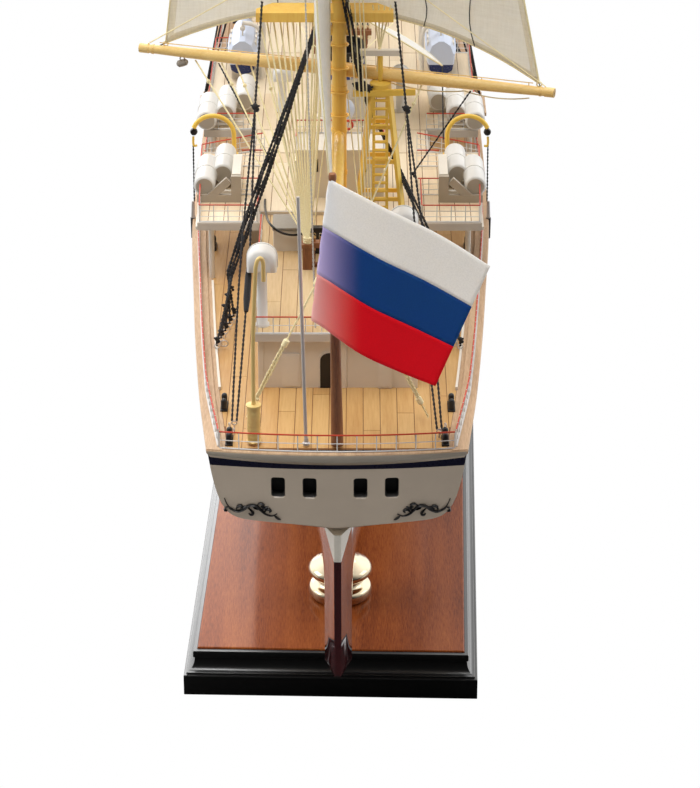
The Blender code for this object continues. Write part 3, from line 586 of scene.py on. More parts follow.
GILT = paint("gilt_davit", (0.80, 0.57, 0.21), 0.38, 0.03, 0.01, metallic=0.2)
ROPE_BLACK = thread("black_rope", (0.018, 0.016, 0.018), (0.008, 0.007, 0.008))
ROPE_CREAM = thread("cream_rope", (0.97, 0.87, 0.54), (0.82, 0.69, 0.38))
ROPE_WHITE = thread("white_rope", (0.66, 0.62, 0.56), (0.45, 0.42, 0.38))
LINEN = linen("sail_linen", (0.93, 0.87, 0.77), (0.80, 0.73, 0.62))
HEM = linen("sail_hem", (0.76, 0.69, 0.57), (0.60, 0.53, 0.42))


def plank_wood(name, pale, dark):
    """Maple planks, each of its own tone, with a soft grain."""
    made = Finish(name, pale, 0.5)
    own = made.node("ShaderNodeNewGeometry").outputs["Random Per Island"]
    grain = made.noise(1.8, 0.10, 1.8, 5, 0.62)
    waves = made.noise(0.30, 0.03, 0.3, 3, 0.55)
    base = made.stops(made.weighted(grain, waves, 0.5), (0.34, dark), (0.6, pale))
    made.colour(made.blended(base, (0.80, 0.62, 0.42, 1), made.levels(own, 0, 1, 0.0, 0.42),
                             "MULTIPLY"))
    made.roughness(made.levels(grain, 0.3, 0.7, 0.58, 0.44))
    made.bump(grain, 0.03, 0.5)
    return made.material


PLANK = plank_wood("maple_planks", (0.65, 0.405, 0.16), (0.55, 0.31, 0.105))
# The roof and boat deck planks are paler, greyer copies of the maple: painted sheen, standing in
# for the gloss that grows on planks seen further forward.
PLANK_ROOF = plank_wood("roof_planks", (0.66, 0.49, 0.27), (0.56, 0.39, 0.195))
PLANK_BOAT = plank_wood("boat_deck_planks", (0.86, 0.74, 0.55), (0.78, 0.65, 0.46))
CAULK = paint("brown_caulk", (0.25, 0.105, 0.035), 0.7)


def mahogany_board():
    """Polished mahogany: a ribbon figure, short dark pores and a glossy coat."""
    pore, red, gold = (0.13, 0.025, 0.007), (0.35, 0.082, 0.018), (0.53, 0.155, 0.032)
    made = Finish("mahogany", red, 0.4, **{"Coat Weight": 0.32, "Coat Roughness": 0.1,
                                           "Specular IOR Level": 0.05})
    pores = made.noise(2.6, 0.22, 1, 5, 0.7)
    ribbon = made.noise(0.09, 0.008, 1, 4, 0.6)
    made.colour(made.stops(made.weighted(pores, ribbon, 0.5), (0.34, pore), (0.5, red),
                           (0.68, gold)))
    made.roughness(made.levels(pores, 0.3, 0.7, 0.46, 0.26))
    made.bump(pores, 0.09, 0.8)
    return made.material


MAHOGANY_BOARD = mahogany_board()
BLUE = paint("funnel_blue", (0.02, 0.06, 0.30), 0.4, 0.03)
PALE_BLUE = paint("boat_cover", (0.62, 0.68, 0.82), 0.35, 0.03)
NAVY_GLOSS = paint("boat_navy", (0.012, 0.025, 0.11), 0.25, 0.03)
BEIGE_END = paint("canister_ends", (0.46, 0.40, 0.32), 0.5, 0.03)


def printed_cloth(name, colour, highlight_colour):
    """Satin printed in one colour, with a painted highlight that pales it towards the staff."""
    made = Finish(name, colour, 0.7, **{"Specular IOR Level": 0.06, "Subsurface Weight": 0.6,
                                        "Subsurface Radius": CLOTH_GLOW,
                                        "Subsurface Scale": 1.0 * MM})
    across = made.split(made.coordinates)["X"]
    # Painted highlight: near the staff the cloth is blended towards a pale colour, where it
    # catches the light.
    hoist_highlight = made.levels(across, place(-7.5, 0, 0).x, place(7.5, 0, 0).x, 0.97, 0.0)
    weave = made.noise(2.4, 2.4, 2.4, 3, 0.6)
    base = made.stops(weave, (0.3, darkened(colour, 0.9)), (0.7, colour))
    made.colour(made.blended(base, (*highlight_colour, 1), made.product(hoist_highlight, hoist_highlight)))
    made.bump(weave, 0.04, 0.5)
    return made.material


# The second colour of each stripe is its painted highlight at the staff.
FLAG_WHITE = printed_cloth("flag_white", (0.85, 0.80, 0.745), (0.95, 0.95, 0.95))
FLAG_BLUE = printed_cloth("flag_blue", (0.006, 0.040, 0.215), (0.80, 0.64, 0.96))
FLAG_RED = printed_cloth("flag_red", (0.62, 0.004, 0.012), (0.96, 0.50, 0.47))


# The camera stands behind the ship and looks down at the poop
CAMERA_AFT = 777.0
CAMERA_HEIGHT = 389.0
CAMERA_ACROSS = 5.8
CAMERA_PITCH = math.radians(25.5)
CAMERA_YAW = math.radians(0.153)
FOCAL_PIXELS = 3000.0
FRAME_HEIGHT_PIXELS = 788.0
SENSOR = 36.0

BACKDROP_LIGHT = 1.5
WINDOW_LIGHT = 3.6
SIDE_LIGHT = 0.75
TOP_LIGHT = 0.75
MIDDLE_DIM = 0.6
FLOOR_REACH = 6.0
FLOOR_SHINE = 0.9


def white_surround():
    """A white studio that is bright overhead and dimmer low down behind the camera."""
    world = bpy.data.worlds.new("studio")
    world.use_nodes = True
    made = Nodes(world.node_tree)

    def ramp(value, low, high, to_low=0.0, to_high=1.0):
        return made.levels(value, low, high, to_low, to_high, interpolation_type="SMOOTHSTEP")

    way = made.split(made.node("ShaderNodeTexCoord").outputs["Generated"])
    beside = ramp(made.sum(way["X"], 0.0, "ABSOLUTE"), 0.2, 0.95, 0.0, SIDE_LIGHT)
    above = ramp(way["Z"], 0.0, 0.95, 0.0, TOP_LIGHT)
    window = made.product(made.product(ramp(way["X"], -0.42, -0.28, 0.0, WINDOW_LIGHT),
                                       ramp(way["X"], -0.11, 0.0, 1.0, 0.0)),
                          ramp(way["Y"], 0.5, 0.8))
    dim = made.product(ramp(way["X"], -0.035, -0.012), ramp(way["X"], 0.12, 0.30, 1.0, 0.0))
    ahead = made.product(ramp(way["Y"], 0.05, 0.85, 0.0, BACKDROP_LIGHT),
                         made.sum(1.0, made.product(dim, MIDDLE_DIM), "SUBTRACT"))
    behind = ramp(way["Y"], -0.75, 0.1, 0.06, 1.0)
    light = made.sum(made.sum(ahead, beside), made.sum(above, window))
    light = made.sum(made.product(light, behind), 0.02)
    seen = made.node("ShaderNodeLightPath").outputs["Is Camera Ray"]
    strength = made.node("ShaderNodeMix", {0: seen, 2: light, 3: 1.0}).outputs[0]
    made.put(made.tree.nodes["Background"], {"Strength": strength, "Color": (1, 1, 1, 1)})
    return world


def studio():
    """The camera, the lamps, the white surround and the pale floor."""
    data = bpy.data.cameras.new("camera")
    data.sensor_width = SENSOR
    data.lens = SENSOR * FOCAL_PIXELS / FRAME_HEIGHT_PIXELS
    data.clip_start = 0.05
    data.clip_end = 30
    camera = add_object("camera", data)
    camera.location = place(CAMERA_ACROSS, -CAMERA_AFT, POOP + CAMERA_HEIGHT)
    camera.rotation_euler = (math.pi / 2 - CAMERA_PITCH, 0, CAMERA_YAW)
    bpy.context.scene.camera = camera
    bpy.context.scene.view_settings.view_transform = "Standard"

    bpy.context.scene.world = white_surround()

    middle = place(0, 300, 60)
    for name, spot, size, power in (("top", (-0.3, 0.1, 2.0), 1.2, 3.0),
                                    ("behind", (-0.25, -0.85, 2.1), 0.9, 23.0),
                                    ("left", (-1.7, -0.1, 0.9), 0.9, 5.0),
                                    ("right", (1.7, 0.1, 0.9), 0.9, 3.0)):
        lamp = bpy.data.lights.new(name, "AREA")
        lamp.energy = power
        lamp.size = size
        thing = add_object(name, lamp)
        thing.location = spot
        thing.rotation_euler = (middle - Vector(spot)).to_track_quat("-Z", "Y").to_euler()

    mesh = bpy.data.meshes.new("floor")
    mesh.from_pydata([(x * FLOOR_REACH, y * FLOOR_REACH, 0)
                      for x, y in ((-1, -1), (1, -1), (1, 1), (-1, 1))], [], [(0, 1, 2, 3)])
    pale = Finish("pale_floor", (0.4, 0.4, 0.4), 1.0, **{"Specular IOR Level": 0.0})
    rays = pale.node("ShaderNodeLightPath").outputs
    pale.colour(pale.blended((0.40, 0.40, 0.40, 1), (0.02, 0.02, 0.02, 1),
                             rays["Is Glossy Ray"]))
    glow = pale.node("ShaderNodeEmission", {"Strength": 1.0})
    along = pale.split(pale.coordinates)["Y"]
    ahead = pale.levels(along, place(0, 90, 0).y, place(0, 102, 0).y, 0.0, FLOOR_SHINE)
    shine = pale.product(ahead, rays["Is Glossy Ray"])
    both = pale.node("ShaderNodeMixShader", {0: pale.sum(rays["Is Camera Ray"], shine),
                                             1: pale.shader.outputs[0], 2: glow.outputs[0]})
    pale.put(pale.tree.nodes["Material Output"], {"Surface": both.outputs[0]})
    mesh.materials.append(pale.material)
    add_object("floor", mesh)


studio()


# The hull

MOULDING = 1.0
STRIPE = 3.75
HULL_STATIONS = ([0, 1.5, 3, 5, 7.5, 10, 13, 16, 20, 24, 28, 32, 36]
                 + steps(40, 600, 112) + steps(603, 690, 40) + [692, 694, 696, 697])


def side_points(low, high, low_half, high_half, fullness, shares):
    """The hull's side at one station, as (half width, height) points."""
    return [(low_half + (high_half - low_half) * s**fullness, low + (high - low) * s)
            for s in shares]


def hull_shell():
    """The painted planked hull in one fine skin: cream, navy stripe and maroon bottom."""
    skin = Skin()
    shares = [0, 0.012, 0.03, 0.06, 0.1, 0.15, 0.22, 0.3, 0.4, 0.5, 0.6, 0.7, 0.78, 0.84]
    for side in (1, -1):
        columns = []
        for y in HULL_STATIONS:
            low = max(WATERLINE, through(COUNTER, y) if y < STERNPOST_AT else through(STEM, y))
            top = deck_height(y) - CAP_LOW
            upper = [max(1 - drop / (top - low), least)
                     for drop, least in ((STRIPE, 0.85), (MOULDING, 0.9), (0.0, 1.0))]
            wall = side_points(low, top, through(WATER_HALF, y), deck_half(y),
                               through(FULL_ABOVE, y), shares + upper)
            columns.append([hull_point(side * x, y, z) for x, z in wall])
        if side > 0:
            columns.reverse()
        rows = [list(row) for row in zip(*columns)]
        skin.ink = 0
        skin.rows(rows[:len(shares) + 1])
        skin.ink = 1
        skin.rows(rows[len(shares):len(shares) + 2])
        skin.ink = 0
        skin.rows(rows[len(shares) + 1:])
    skin.ink = 2
    shares = [0, 0.02, 0.05, 0.1, 0.17, 0.26, 0.36, 0.48, 0.6, 0.74, 0.87, 1]
    rings = []
    for y in [s for s in HULL_STATIONS if STERNPOST_AT <= s <= 664]:
        low = 0 if y == STERNPOST_AT else through(STEM, y)
        wall = side_points(min(low, WATERLINE - 0.01), WATERLINE, through(KEEL_HALF, y),
                           through(WATER_HALF, y), through(FULL_BELOW, y), shares)
        rings.append([(x, y, z) for x, z in reversed(wall)] + [(-x, y, z) for x, z in wall])
    skin.rows(rings)
    skin.cap(rings[0])
    skin.ink = 0
    under = []
    for y in [s for s in HULL_STATIONS if s <= STERNPOST_AT]:
        z = through(COUNTER, y)
        half = through(WATER_HALF, y)
        under.append([hull_point(x, y, z) for x in (half, 0, -half)])
    skin.rows(under)
    skin.make("hull_shell", [CREAM, NAVY, MAROON], slot="cream_paint",
              replaces=["hull_topsides", "hull_bottom"], smooth=50)


def transom_outline():
    """The transom's edge, clockwise from its top port corner, as (x, z) points."""
    low, top = COUNTER[0][1], SHEER[0][1] - CAP_LOW
    shares = [0, 0.0004, 0.002, 0.006, 0.015, 0.03, 0.06, 0.1, 0.16, 0.24, 0.34, 0.46, 0.6,
              0.74, 0.87, 1]
    side = side_points(low, top, WATER_HALF[0][1], DECK_HALF[0][1], FULL_ABOVE[0][1], shares)
    return ([(-x, z - sag(x, 0)) for x, z in reversed(side)] + [(0, low - sag(0, 0))]
            + [(x, z - sag(x, 0)) for x, z in side])


WINDOWS_AT = (-17.2, -8.0, 6.8, 15.9)
WINDOW_LOW, WINDOW_HIGH = 73.1, 80.3
WINDOW_WIDTH = 4.3
WINDOW_DEPTH = 3.2
WINDOW_ROUND = 0.9
BAND_HALF = 36.9
BAND_DROP = 2.3
BAND_RISE = 1.3
FILL_HEIGHTS = (68.5, 70.2, 79.8, 81.2)


def rounded(x0, x1, z0, z1, radius):
    """A rectangle with round corners, counter-clockwise."""
    outline = []
    for cx, cz, start in ((x1 - radius, z0 + radius, -90), (x1 - radius, z1 - radius, 0),
                          (x0 + radius, z1 - radius, 90), (x0 + radius, z0 + radius, 180)):
        for degrees in steps(start, start + 90, 4):
            a = math.radians(degrees)
            outline.append((cx + radius * math.cos(a), cz + radius * math.sin(a)))
    return outline


def transom():
    """The flat stern with its recessed windows and the narrow navy band."""
    skin = Skin()
    top = SHEER[0][1] - CAP_LOW

    band_low = top - STRIPE

    def band_high(x):
        return top - BAND_DROP + BAND_RISE * (x / DECK_HALF[0][1]) ** 2

    outline = transom_outline()
    windows = [rounded(x - WINDOW_WIDTH / 2, x + WINDOW_WIDTH / 2, WINDOW_LOW, WINDOW_HIGH,
                       WINDOW_ROUND) for x in WINDOWS_AT]
    edges = []
    spots = []
    for loop in [outline] + windows:
        start = len(spots)
        spots.extend(Vector(p) for p in loop)
        edges.extend((start + k, start + (k + 1) % len(loop)) for k in range(len(loop)))
    for level in (lambda x: band_low, band_high):
        start = len(spots)
        across = steps(-BAND_HALF, BAND_HALF, 40)
        spots.extend(Vector((x, level(x))) for x in across)
        edges.extend((start + k, start + k + 1) for k in range(40))
    for x in steps(-34, 34, 17):
        for z in FILL_HEIGHTS:
            spots.append(Vector((x, z)))
    flat, _, faces, *_ = geometry.delaunay_2d_cdt(spots, edges, [], 1, 1e-4)
    for ink in (0, 1):
        kept = []
        for face in faces:
            middle = sum((flat[k] for k in face), Vector((0, 0))) / len(face)
            in_window = any(abs(middle.x - x) < WINDOW_WIDTH / 2 - 0.01
                            and WINDOW_LOW + 0.01 < middle.y < WINDOW_HIGH - 0.01
                            and inside(middle, hole) for x, hole in zip(WINDOWS_AT, windows))
            in_band = band_low < middle.y < band_high(middle.x)
            if not in_window and in_band == bool(ink):
                kept.append(tuple(face))
        skin.ink = ink
        skin.add([(p.x, plan_y(0, p.x, p.y), p.y) for p in flat], kept)
    skin.ink = 0
    for hole in windows:
        rims = []
        for depth, shrink in ((0, 1.0), (0.3, 0.93), (0.6, 0.9), (WINDOW_DEPTH, 0.86)):
            cx = sum(x for x, z in hole) / len(hole)
            cz = sum(z for x, z in hole) / len(hole)
            rims.append([(cx + (x - cx) * shrink, plan_y(0, x, z) + depth,
                          cz + (z - cz) * shrink) for x, z in hole])
        skin.ink = 0
        skin.rows(rims[:2], closed=True)
        skin.ink = 3
        skin.rows(rims[1:], closed=True)
        skin.ink = 2
        skin.cap(rims[-1])
    skin.make("transom", [CREAM, NAVY, BLACK, SILL], slot="cream_paint", smooth=30)


def inside(point, outline):
    """Whether a point lies inside a closed outline."""
    within = False
    for (x0, z0), (x1, z1) in zip(outline, outline[1:] + outline[:1]):
        if (z0 > point.y) != (z1 > point.y):
            if point.x < x0 + (point.y - z0) * (x1 - x0) / (z1 - z0):
                within = not within
    return within


def transom_scrolls():
    """A leafy scroll at each lower corner of the transom."""
    stem = [(-33.0, 73.0), (-32.2, 70.8), (-31.0, 69.3), (-29.0, 68.7), (-27.2, 69.6),
            (-25.6, 71.0), (-23.8, 71.0), (-22.4, 69.6), (-21.0, 68.2), (-19.2, 67.6),
            (-17.6, 68.4)]
    curls = [[(-29.6, 68.8), (-29.2, 70.4), (-28.2, 70.9), (-27.6, 70.2), (-28.1, 69.7)],
             [(-26.4, 70.4), (-25.4, 69.4), (-24.6, 68.3), (-25.3, 67.7), (-25.9, 68.2)],
             [(-23.6, 71.0), (-22.6, 71.9), (-21.5, 71.5), (-21.7, 70.7), (-22.3, 70.8)],
             [(-21.4, 68.5), (-20.9, 69.6), (-19.9, 70.0), (-19.4, 69.3), (-19.9, 68.9)],
             [(-31.8, 70.1), (-32.7, 69.7), (-32.9, 68.9), (-32.2, 68.6)]]
    skin = Skin()
    for side in (1, -1):
        for line, thick in [(stem, 0.98)] + [(c, 0.84) for c in curls]:
            path = curve_through([(side * x, 0, z - 0.9) for x, z in line], 0.35)
            path = [Vector((p.x, plan_y(0, p.x, p.z) - 0.05, p.z)) for p in path]
            count = len(path)
            swell = [thick * (0.25 + 0.85 * math.sin(math.pi * (0.06 + 0.84 * i / count)) ** 2)
                     for i in range(count)]
            skin.tube(path, swell, 8, 0.4)
        for k, (x, z) in enumerate(((-31.9, 70.3), (-28.4, 69.0), (-24.8, 71.0),
                                    (-22.0, 69.2), (-18.4, 67.8))):
            tip = Vector((side * (x + 1.9), 0, z - 0.9 + (1.7 if k % 2 else -1.5)))
            leaf = curve_through([(side * x, 0, z - 0.9),
                                  (side * (x + 0.5), 0, (z - 0.9 + tip.z) / 2 + 0.1), tip], 0.3)
            leaf = [Vector((p.x, plan_y(0, p.x, p.z) - 0.05, p.z)) for p in leaf]
            count = len(leaf) - 1
            width = [0.14 + 0.75 * math.sin(a) for a in steps(0, math.pi, count)]
            skin.tube(leaf, width, 8, 0.4)
    skin.make("transom_scrolls", BLACK)


def rub_mouldings():
    """The grey moulding under the cap rail, right round the hull."""
    skin = Skin()
    for side in (1, -1):
        rings = []
        for y in HULL_STATIONS:
            x, z = side * deck_half(y), deck_height(y)
            ring = ((-0.6, 0.4), (0.25, 0.35), (0.45, -0.1), (0.25, -0.8), (-0.1, -1.2),
                    (-0.6, -1.2))
            rings.append([(x + side * a, plan_y(y, x, z), z + b) for a, b in ring])
        skin.loft(rings)
    rings = []
    for x in steps(-DECK_HALF[0][1], DECK_HALF[0][1], 24):
        deep = 1.1 + 1.1 * (1 - (x / DECK_HALF[0][1]) ** 2)
        y = plan_y(0, x, POOP)
        ring = ((0.5, 88.4), (-0.4, 88.35), (-0.6, 88.0), (-0.4, 88.2 - deep),
                (-0.05, 87.9 - deep), (0.5, 87.9 - deep))
        rings.append([(x, y + a, b) for a, b in ring])
    skin.loft(rings)
    skin.make("rub_moulding", BEIGE, smooth=50)


def cap_rails():
    """The flat tan rail round the deck's edge and across the stern."""
    stations = [s for s in HULL_STATIONS if s < 694]
    for word, side in SIDES:
        skin = Skin()
        rings = []
        for y in stations:
            x, z = deck_half(y), deck_height(y) + CAP_HIGH
            inner, outer = max(x - CAP_WIDTH, 0.5), x + CAP_OVERHANG
            ring = ((inner, z - 1.5), (inner, z - 0.15), (inner + 0.2, z), (outer - 0.3, z),
                    (outer, z - 0.3), (outer, z - 0.75), (outer - 0.4, z - 1.0))
            rings.append([(side * a, plan_y(y, a, b), b) for a, b in ring])
        skin.loft(rings)
        skin.make("cap_rail_fine_" + word, TAN, slot="tan_wood",
                  replaces=["cap_rail_" + word], smooth=30)
    skin = Skin()
    rings = []
    for x in steps(-DECK_HALF[0][1] - 0.4, DECK_HALF[0][1] + 0.4, 24):
        y = plan_y(0, x, POOP)
        ring = ((-0.5, 88.2), (-0.3, 88.5), (1.5, 88.5), (1.6, 88.4), (1.6, 87.5), (-0.4, 87.5))
        rings.append([(x, y + a, b) for a, b in ring])
    skin.loft(rings)
    skin.make("cap_rail_fine_stern", TAN, slot="tan_wood", replaces=["cap_rail_stern"],
              smooth=30)


PLANK_WIDTH = 5.05
PLANK_THICK = 0.7
SEAM = 0.22


def planking(skin, low_y, high_y, half, height, run=86.0, inner=0.0):
    """Planks laid fore and aft between two stations, staggered, inside a plan outline."""
    columns = int(60 / PLANK_WIDTH) + 1
    for k in range(-columns, columns + 1):
        x0 = (k - 0.5) * PLANK_WIDTH + SEAM / 2
        x1 = x0 + PLANK_WIDTH - SEAM
        offset = (k * 37) % int(run)
        ends = [low_y]
        at = low_y - offset + run
        while at < high_y - 4:
            if at > low_y + 4:
                ends.append(at)
            at += run
        ends.append(high_y)
        for a, b in zip(ends, ends[1:]):
            count = max(1, round((b - a) / 14))
            rows = []
            for y in steps(a + SEAM / 2, b - SEAM / 2, count):
                limit = half(y)
                left, right = max(x0, -limit), min(x1, limit)
                if inner and x0 < 0:
                    right = min(right, -inner)
                elif inner:
                    left = max(left, inner)
                if right - left < 0.25:
                    if len(rows) > 1:
                        skin.loft(rows)
                    rows = []
                    continue
                z = height(y)
                rows.append([(left, y, z - PLANK_THICK), (left, y, z), (right, y, z),
                             (right, y, z - PLANK_THICK)])
            if len(rows) > 1:
                skin.loft(rows)


def main_deck():
    """The planked deck, its brown caulking and the margin planks along its edge."""
    skin = Skin()
    planking(skin, 2.0, 668, lambda y: deck_half(y) - CAP_WIDTH - MARGIN, deck_height)
    skin.ink = 1
    rows = []
    for y in steps(1.4, 688, 120):
        half = max(deck_half(y) - CAP_WIDTH, 0.4)
        z = deck_height(y)
        rows.append([(half, y, z - 0.14), (-half, y, z - 0.14)])
    skin.rows(rows)
    skin.ink = 2
    for side in (1, -1):
        rows = []
        for y in steps(1.6, 684, 120):
            outer = max(deck_half(y) - CAP_WIDTH - 0.05, 0.6)
            inner = max(outer - 1.3, 0.3)
            z = deck_height(y)
            rows.append([(side * inner, y, z - 0.5), (side * inner, y, z + 0.05),
                         (side * outer, y, z + 0.05), (side * outer, y, z - 0.5)])
        skin.loft(rows)
        skin.ink = 3
        skin.bar([(side * (deck_half(y) - CAP_WIDTH - MARGIN), y, deck_height(y) + 0.5)
                  for y in steps(42, 127, 20)], 0.7, 1.2)
        skin.ink = 2
    skin.make("deck_planks", [PLANK, CAULK, TAN, WHITE], slot="maple",
              replaces=["deck_planking"], smooth=20)


def bollards():
    """Paired bitts on their bedplates along the deck's edge, with eyebolts beside them."""
    black = Skin()
    for side in (1, -1):
        for y in (6.6, 30, 160, 250, 330, 412, 590, 636):
            x = side * (deck_half(y) - 6.7)
            z = deck_height(y)
            black.block((x - 1.1, y - 3.4, z), (x + 1.1, y + 3.4, z + 0.5))
            for along in (-1.9, 1.9):
                black.turned([(1.0, 0.4), (0.9, 0.9), (0.9, 2.9), (0.75, 3.4), (0.35, 3.7)],
                             (x, y + along, z), 14)
    black.make("bollards", BLACK, smooth=40)
    silver = Skin()
    for side in (1, -1):
        for y in (11, 14.6):
            x = side * 30.3 + side * (y - 11) * 0.4
            z = deck_height(y)
            silver.tube([(x, y, z), (x, y, z + 1.0)], 0.22, 6)
            silver.ring((x, y, z + 1.5), 0.6, 0.17, (1, 0.4, 0))
    silver.make("deck_eyebolts", SILVER, slot="steel")


POST_GAP = 4.6
HULL_RAIL = 5.4
RAIL_PAINTS = [WHITE_METAL, RED]
HOUSE_PAINTS = [WHITE, BLACK, GLASS, BRASS]


def fence(skin, path, top, step, bar=0.34, mids=(0.5,), spikes=0.0):
    """An etched railing along a path: stanchions, thin rails and a top rail in red."""
    line = [Vector(p) for p in path]
    length = sum((b - a).length for a, b in zip(line, line[1:]))
    posts = resampled(line, max(1, round(length / step)))
    for p in posts:
        skin.tube([p, p + upward(top + spikes)], bar / 2, 4)
    for share in mids:
        skin.tube([p + upward(top * share) for p in line], bar * 0.42, 4)
    skin.tube([p + upward(0.2) for p in line], 0.28, 4)
    skin.ink = 1
    skin.tube([p + upward(top) for p in line], bar * 0.72, 6)
    skin.ink = 0


def fence_round(skin, corners, z, count, top, step):
    """A railing along straight edges between corners."""
    for (x0, y0), (x1, y1) in zip(corners, corners[1:]):
        fence(skin, straight((x0, y0, z), (x1, y1, z), count), top, step, bar=0.3)


def fence_runs(skin, runs, z, top):
    """Railings along straight runs, each given as x0, y0, x1, y1 and its number of steps."""
    for x0, y0, x1, y1, count in runs:
        path = straight((x0, y0, z), (x1, y1, z), count)
        fence(skin, path, top, POST_GAP, bar=0.3, mids=(0.33, 0.66))


def hull_railings():
    """The white railing on the cap rail, with its red top."""
    for word, side in SIDES:
        skin = Skin()
        path = [(side * (deck_half(y) - 1.8 - 1.5 * max(0.0, 1 - y / 40)), y,
                 deck_height(y) + CAP_HIGH) for y in steps(1.6, 681, 150)]
        fence(skin, path, HULL_RAIL, POST_GAP, spikes=0.3)
        foot = ((-0.4, 0), (-0.4, 0.35), (0.4, 0.35), (0.4, 0))
        skin.loft([[(x + a, y, z + b) for a, b in foot] for x, y, z in path])
        skin.make("railing_fine_" + word, RAIL_PAINTS, slot="white_metal",
                  replaces=["railing_" + word], smooth=30)
    skin = Skin()
    half = DECK_HALF[0][1] - 3.4
    path = [(x, plan_y(0, x, POOP) + 1.35, 88.5) for x in steps(-half, half, 24)]
    fence(skin, path, HULL_RAIL, 5.5)
    skin.make("railing_fine_stern", RAIL_PAINTS, slot="white_metal",
              replaces=["railing_stern"], smooth=30)


ROOF_TOP = 105.9
WALL_TOP = ROOF_TOP - 2.2
HOUSE_HALF = 23.6
ROOF_HALF = 25.9
HOUSE_FOOT_AT = 44.0
ROOF_EDGE_AT = 42.2
STEP_AT = 138.0
WING_AT = 128.0


def arched(x0, x1, z0, z1, round_height):
    """The outline of a doorway with a round top."""
    middle, half = (x0 + x1) / 2, (x1 - x0) / 2
    top = [(middle + half * math.cos(a), z1 - round_height + round_height * math.sin(a))
           for a in steps(0, math.pi, 10)]
    return [(x0, z0), (x1, z0)] + top


def raised(skin, outline, y, out):
    """A flat plate standing out aft from an upright wall."""
    face = [(x, y - out, z) for x, z in outline]
    skin.rows([[(x, y, z) for x, z in outline], face], closed=True)
    skin.cap(face)


def side_door(skin, side, x, y, z, width=5.2, height=11.5):
    """A panelled door on a side wall, with its frame, its window and its handle."""
    white = skin.ink
    for out, half in ((0.35, width / 2), (0.55, width / 2 - 0.6)):
        skin.block((x, y - half, z), (x + side * out, y + half, z + height))
    skin.ink = 2
    skin.block((x, y - 1.2, z + height * 0.62), (x + side * 0.62, y + 1.2, z + height * 0.86))
    skin.ink = 3
    skin.ball((x + side * 0.8, y + width * 0.3, z + height * 0.45), 0.3, 6)
    skin.ink = white


def scuttle(skin, centre, axis, radius=1.25, ring=3, glass=2):
    """A round window: a brass ring over dark glass."""
    white = skin.ink
    axis = Vector(axis).normalized()
    skin.ink = glass
    skin.turned([(radius, -0.3), (radius, 0.12)], centre, 14, axis)
    skin.ink = ring
    skin.ring(Vector(centre) + axis * 0.12, radius + 0.1, 0.24, axis, 16)
    skin.ink = white


def after_house():
    """The after deckhouse with its stern wall, doors, windows, roof and roof railing."""
    foot = deck_height(45)
    skin = Skin()
    wall = HOUSE_FOOT_AT
    skin.block((-HOUSE_HALF, wall, foot - 1.4), (HOUSE_HALF, 150, WALL_TOP))
    for x0, x1, out in ((-24.1, -22.5, 0.35), (22.5, 24.1, 0.35), (1.0, 2.6, 0.45)):
        skin.block((x0, wall - out, foot), (x1, wall + 1, WALL_TOP))
    for x0, x1, high, out in ((-17.2, -11.4, 11.4, 0.5), (12.0, 16.4, 8.4, 0.9)):
        raised(skin, rounded(x0, x1, foot + 0.15, foot + high, 0.5), wall, out)
        raised(skin, rounded(x0 + 0.6, x1 - 0.6, foot + 0.8, foot + high - 0.6, 0.4),
               wall - out, 0.18)
    raised(skin, arched(-6.1, 1.0, foot + 0.1, foot + 12.2, 2.8), wall, 0.25)
    skin.ink = 1
    raised(skin, arched(-5.4, 0.3, foot + 0.1, foot + 11.6, 2.4), wall - 0.25, 0.2)
    skin.ink = 0
    for y in (60, 96, 132):
        for side in (-1, 1):
            side_door(skin, side, side * HOUSE_HALF, y, deck_height(y) + 0.2)
    for y in (70, 78, 86, 106, 114, 122, 142):
        for side in (1, -1):
            scuttle(skin, (side * HOUSE_HALF, y, deck_height(y) + 9.5), (side, 0, 0))
    skin.make("after_house", HOUSE_PAINTS, slot="white_paint",
              replaces=["deckhouse_aft"], smooth=35, bevel=0.12)

    roof = Skin()
    edge, end = ROOF_EDGE_AT, STEP_AT - 0.4
    planking(roof, edge + 0.5, end, lambda y: 25.0, lambda y: ROOF_TOP, run=62)
    roof.ink = 1
    roof.block((-25.3, edge + 0.2, ROOF_TOP - 1.2), (25.3, end, ROOF_TOP - 0.14))
    roof.ink = 2
    roof.block((-ROOF_HALF, edge, ROOF_TOP - 2.3), (ROOF_HALF, edge + 0.6, ROOF_TOP + 0.1))
    for side in (1, -1):
        roof.block((side * 25.2, edge + 0.6, ROOF_TOP - 2.3),
                   (side * ROOF_HALF, end, ROOF_TOP + 0.1))
    roof.make("after_roof", [PLANK_ROOF, CAULK, GREY], slot="maple",
              replaces=["deckhouse_roof"], smooth=20)

    rails = Skin()
    corners = [(-25.3, 124), (-25.3, edge + 0.5), (25.3, edge + 0.5), (25.3, 124)]
    corners = [(x, y, ROOF_TOP + 0.1) for x, y in corners]
    path = []
    for a, b, count in zip(corners, corners[1:], (12, 10, 12)):
        path += straight(a, b, count)
    fence(rails, path, 5.5, 4.8, bar=0.3)
    rails.make("after_roof_railing", RAIL_PAINTS, slot="white_metal")


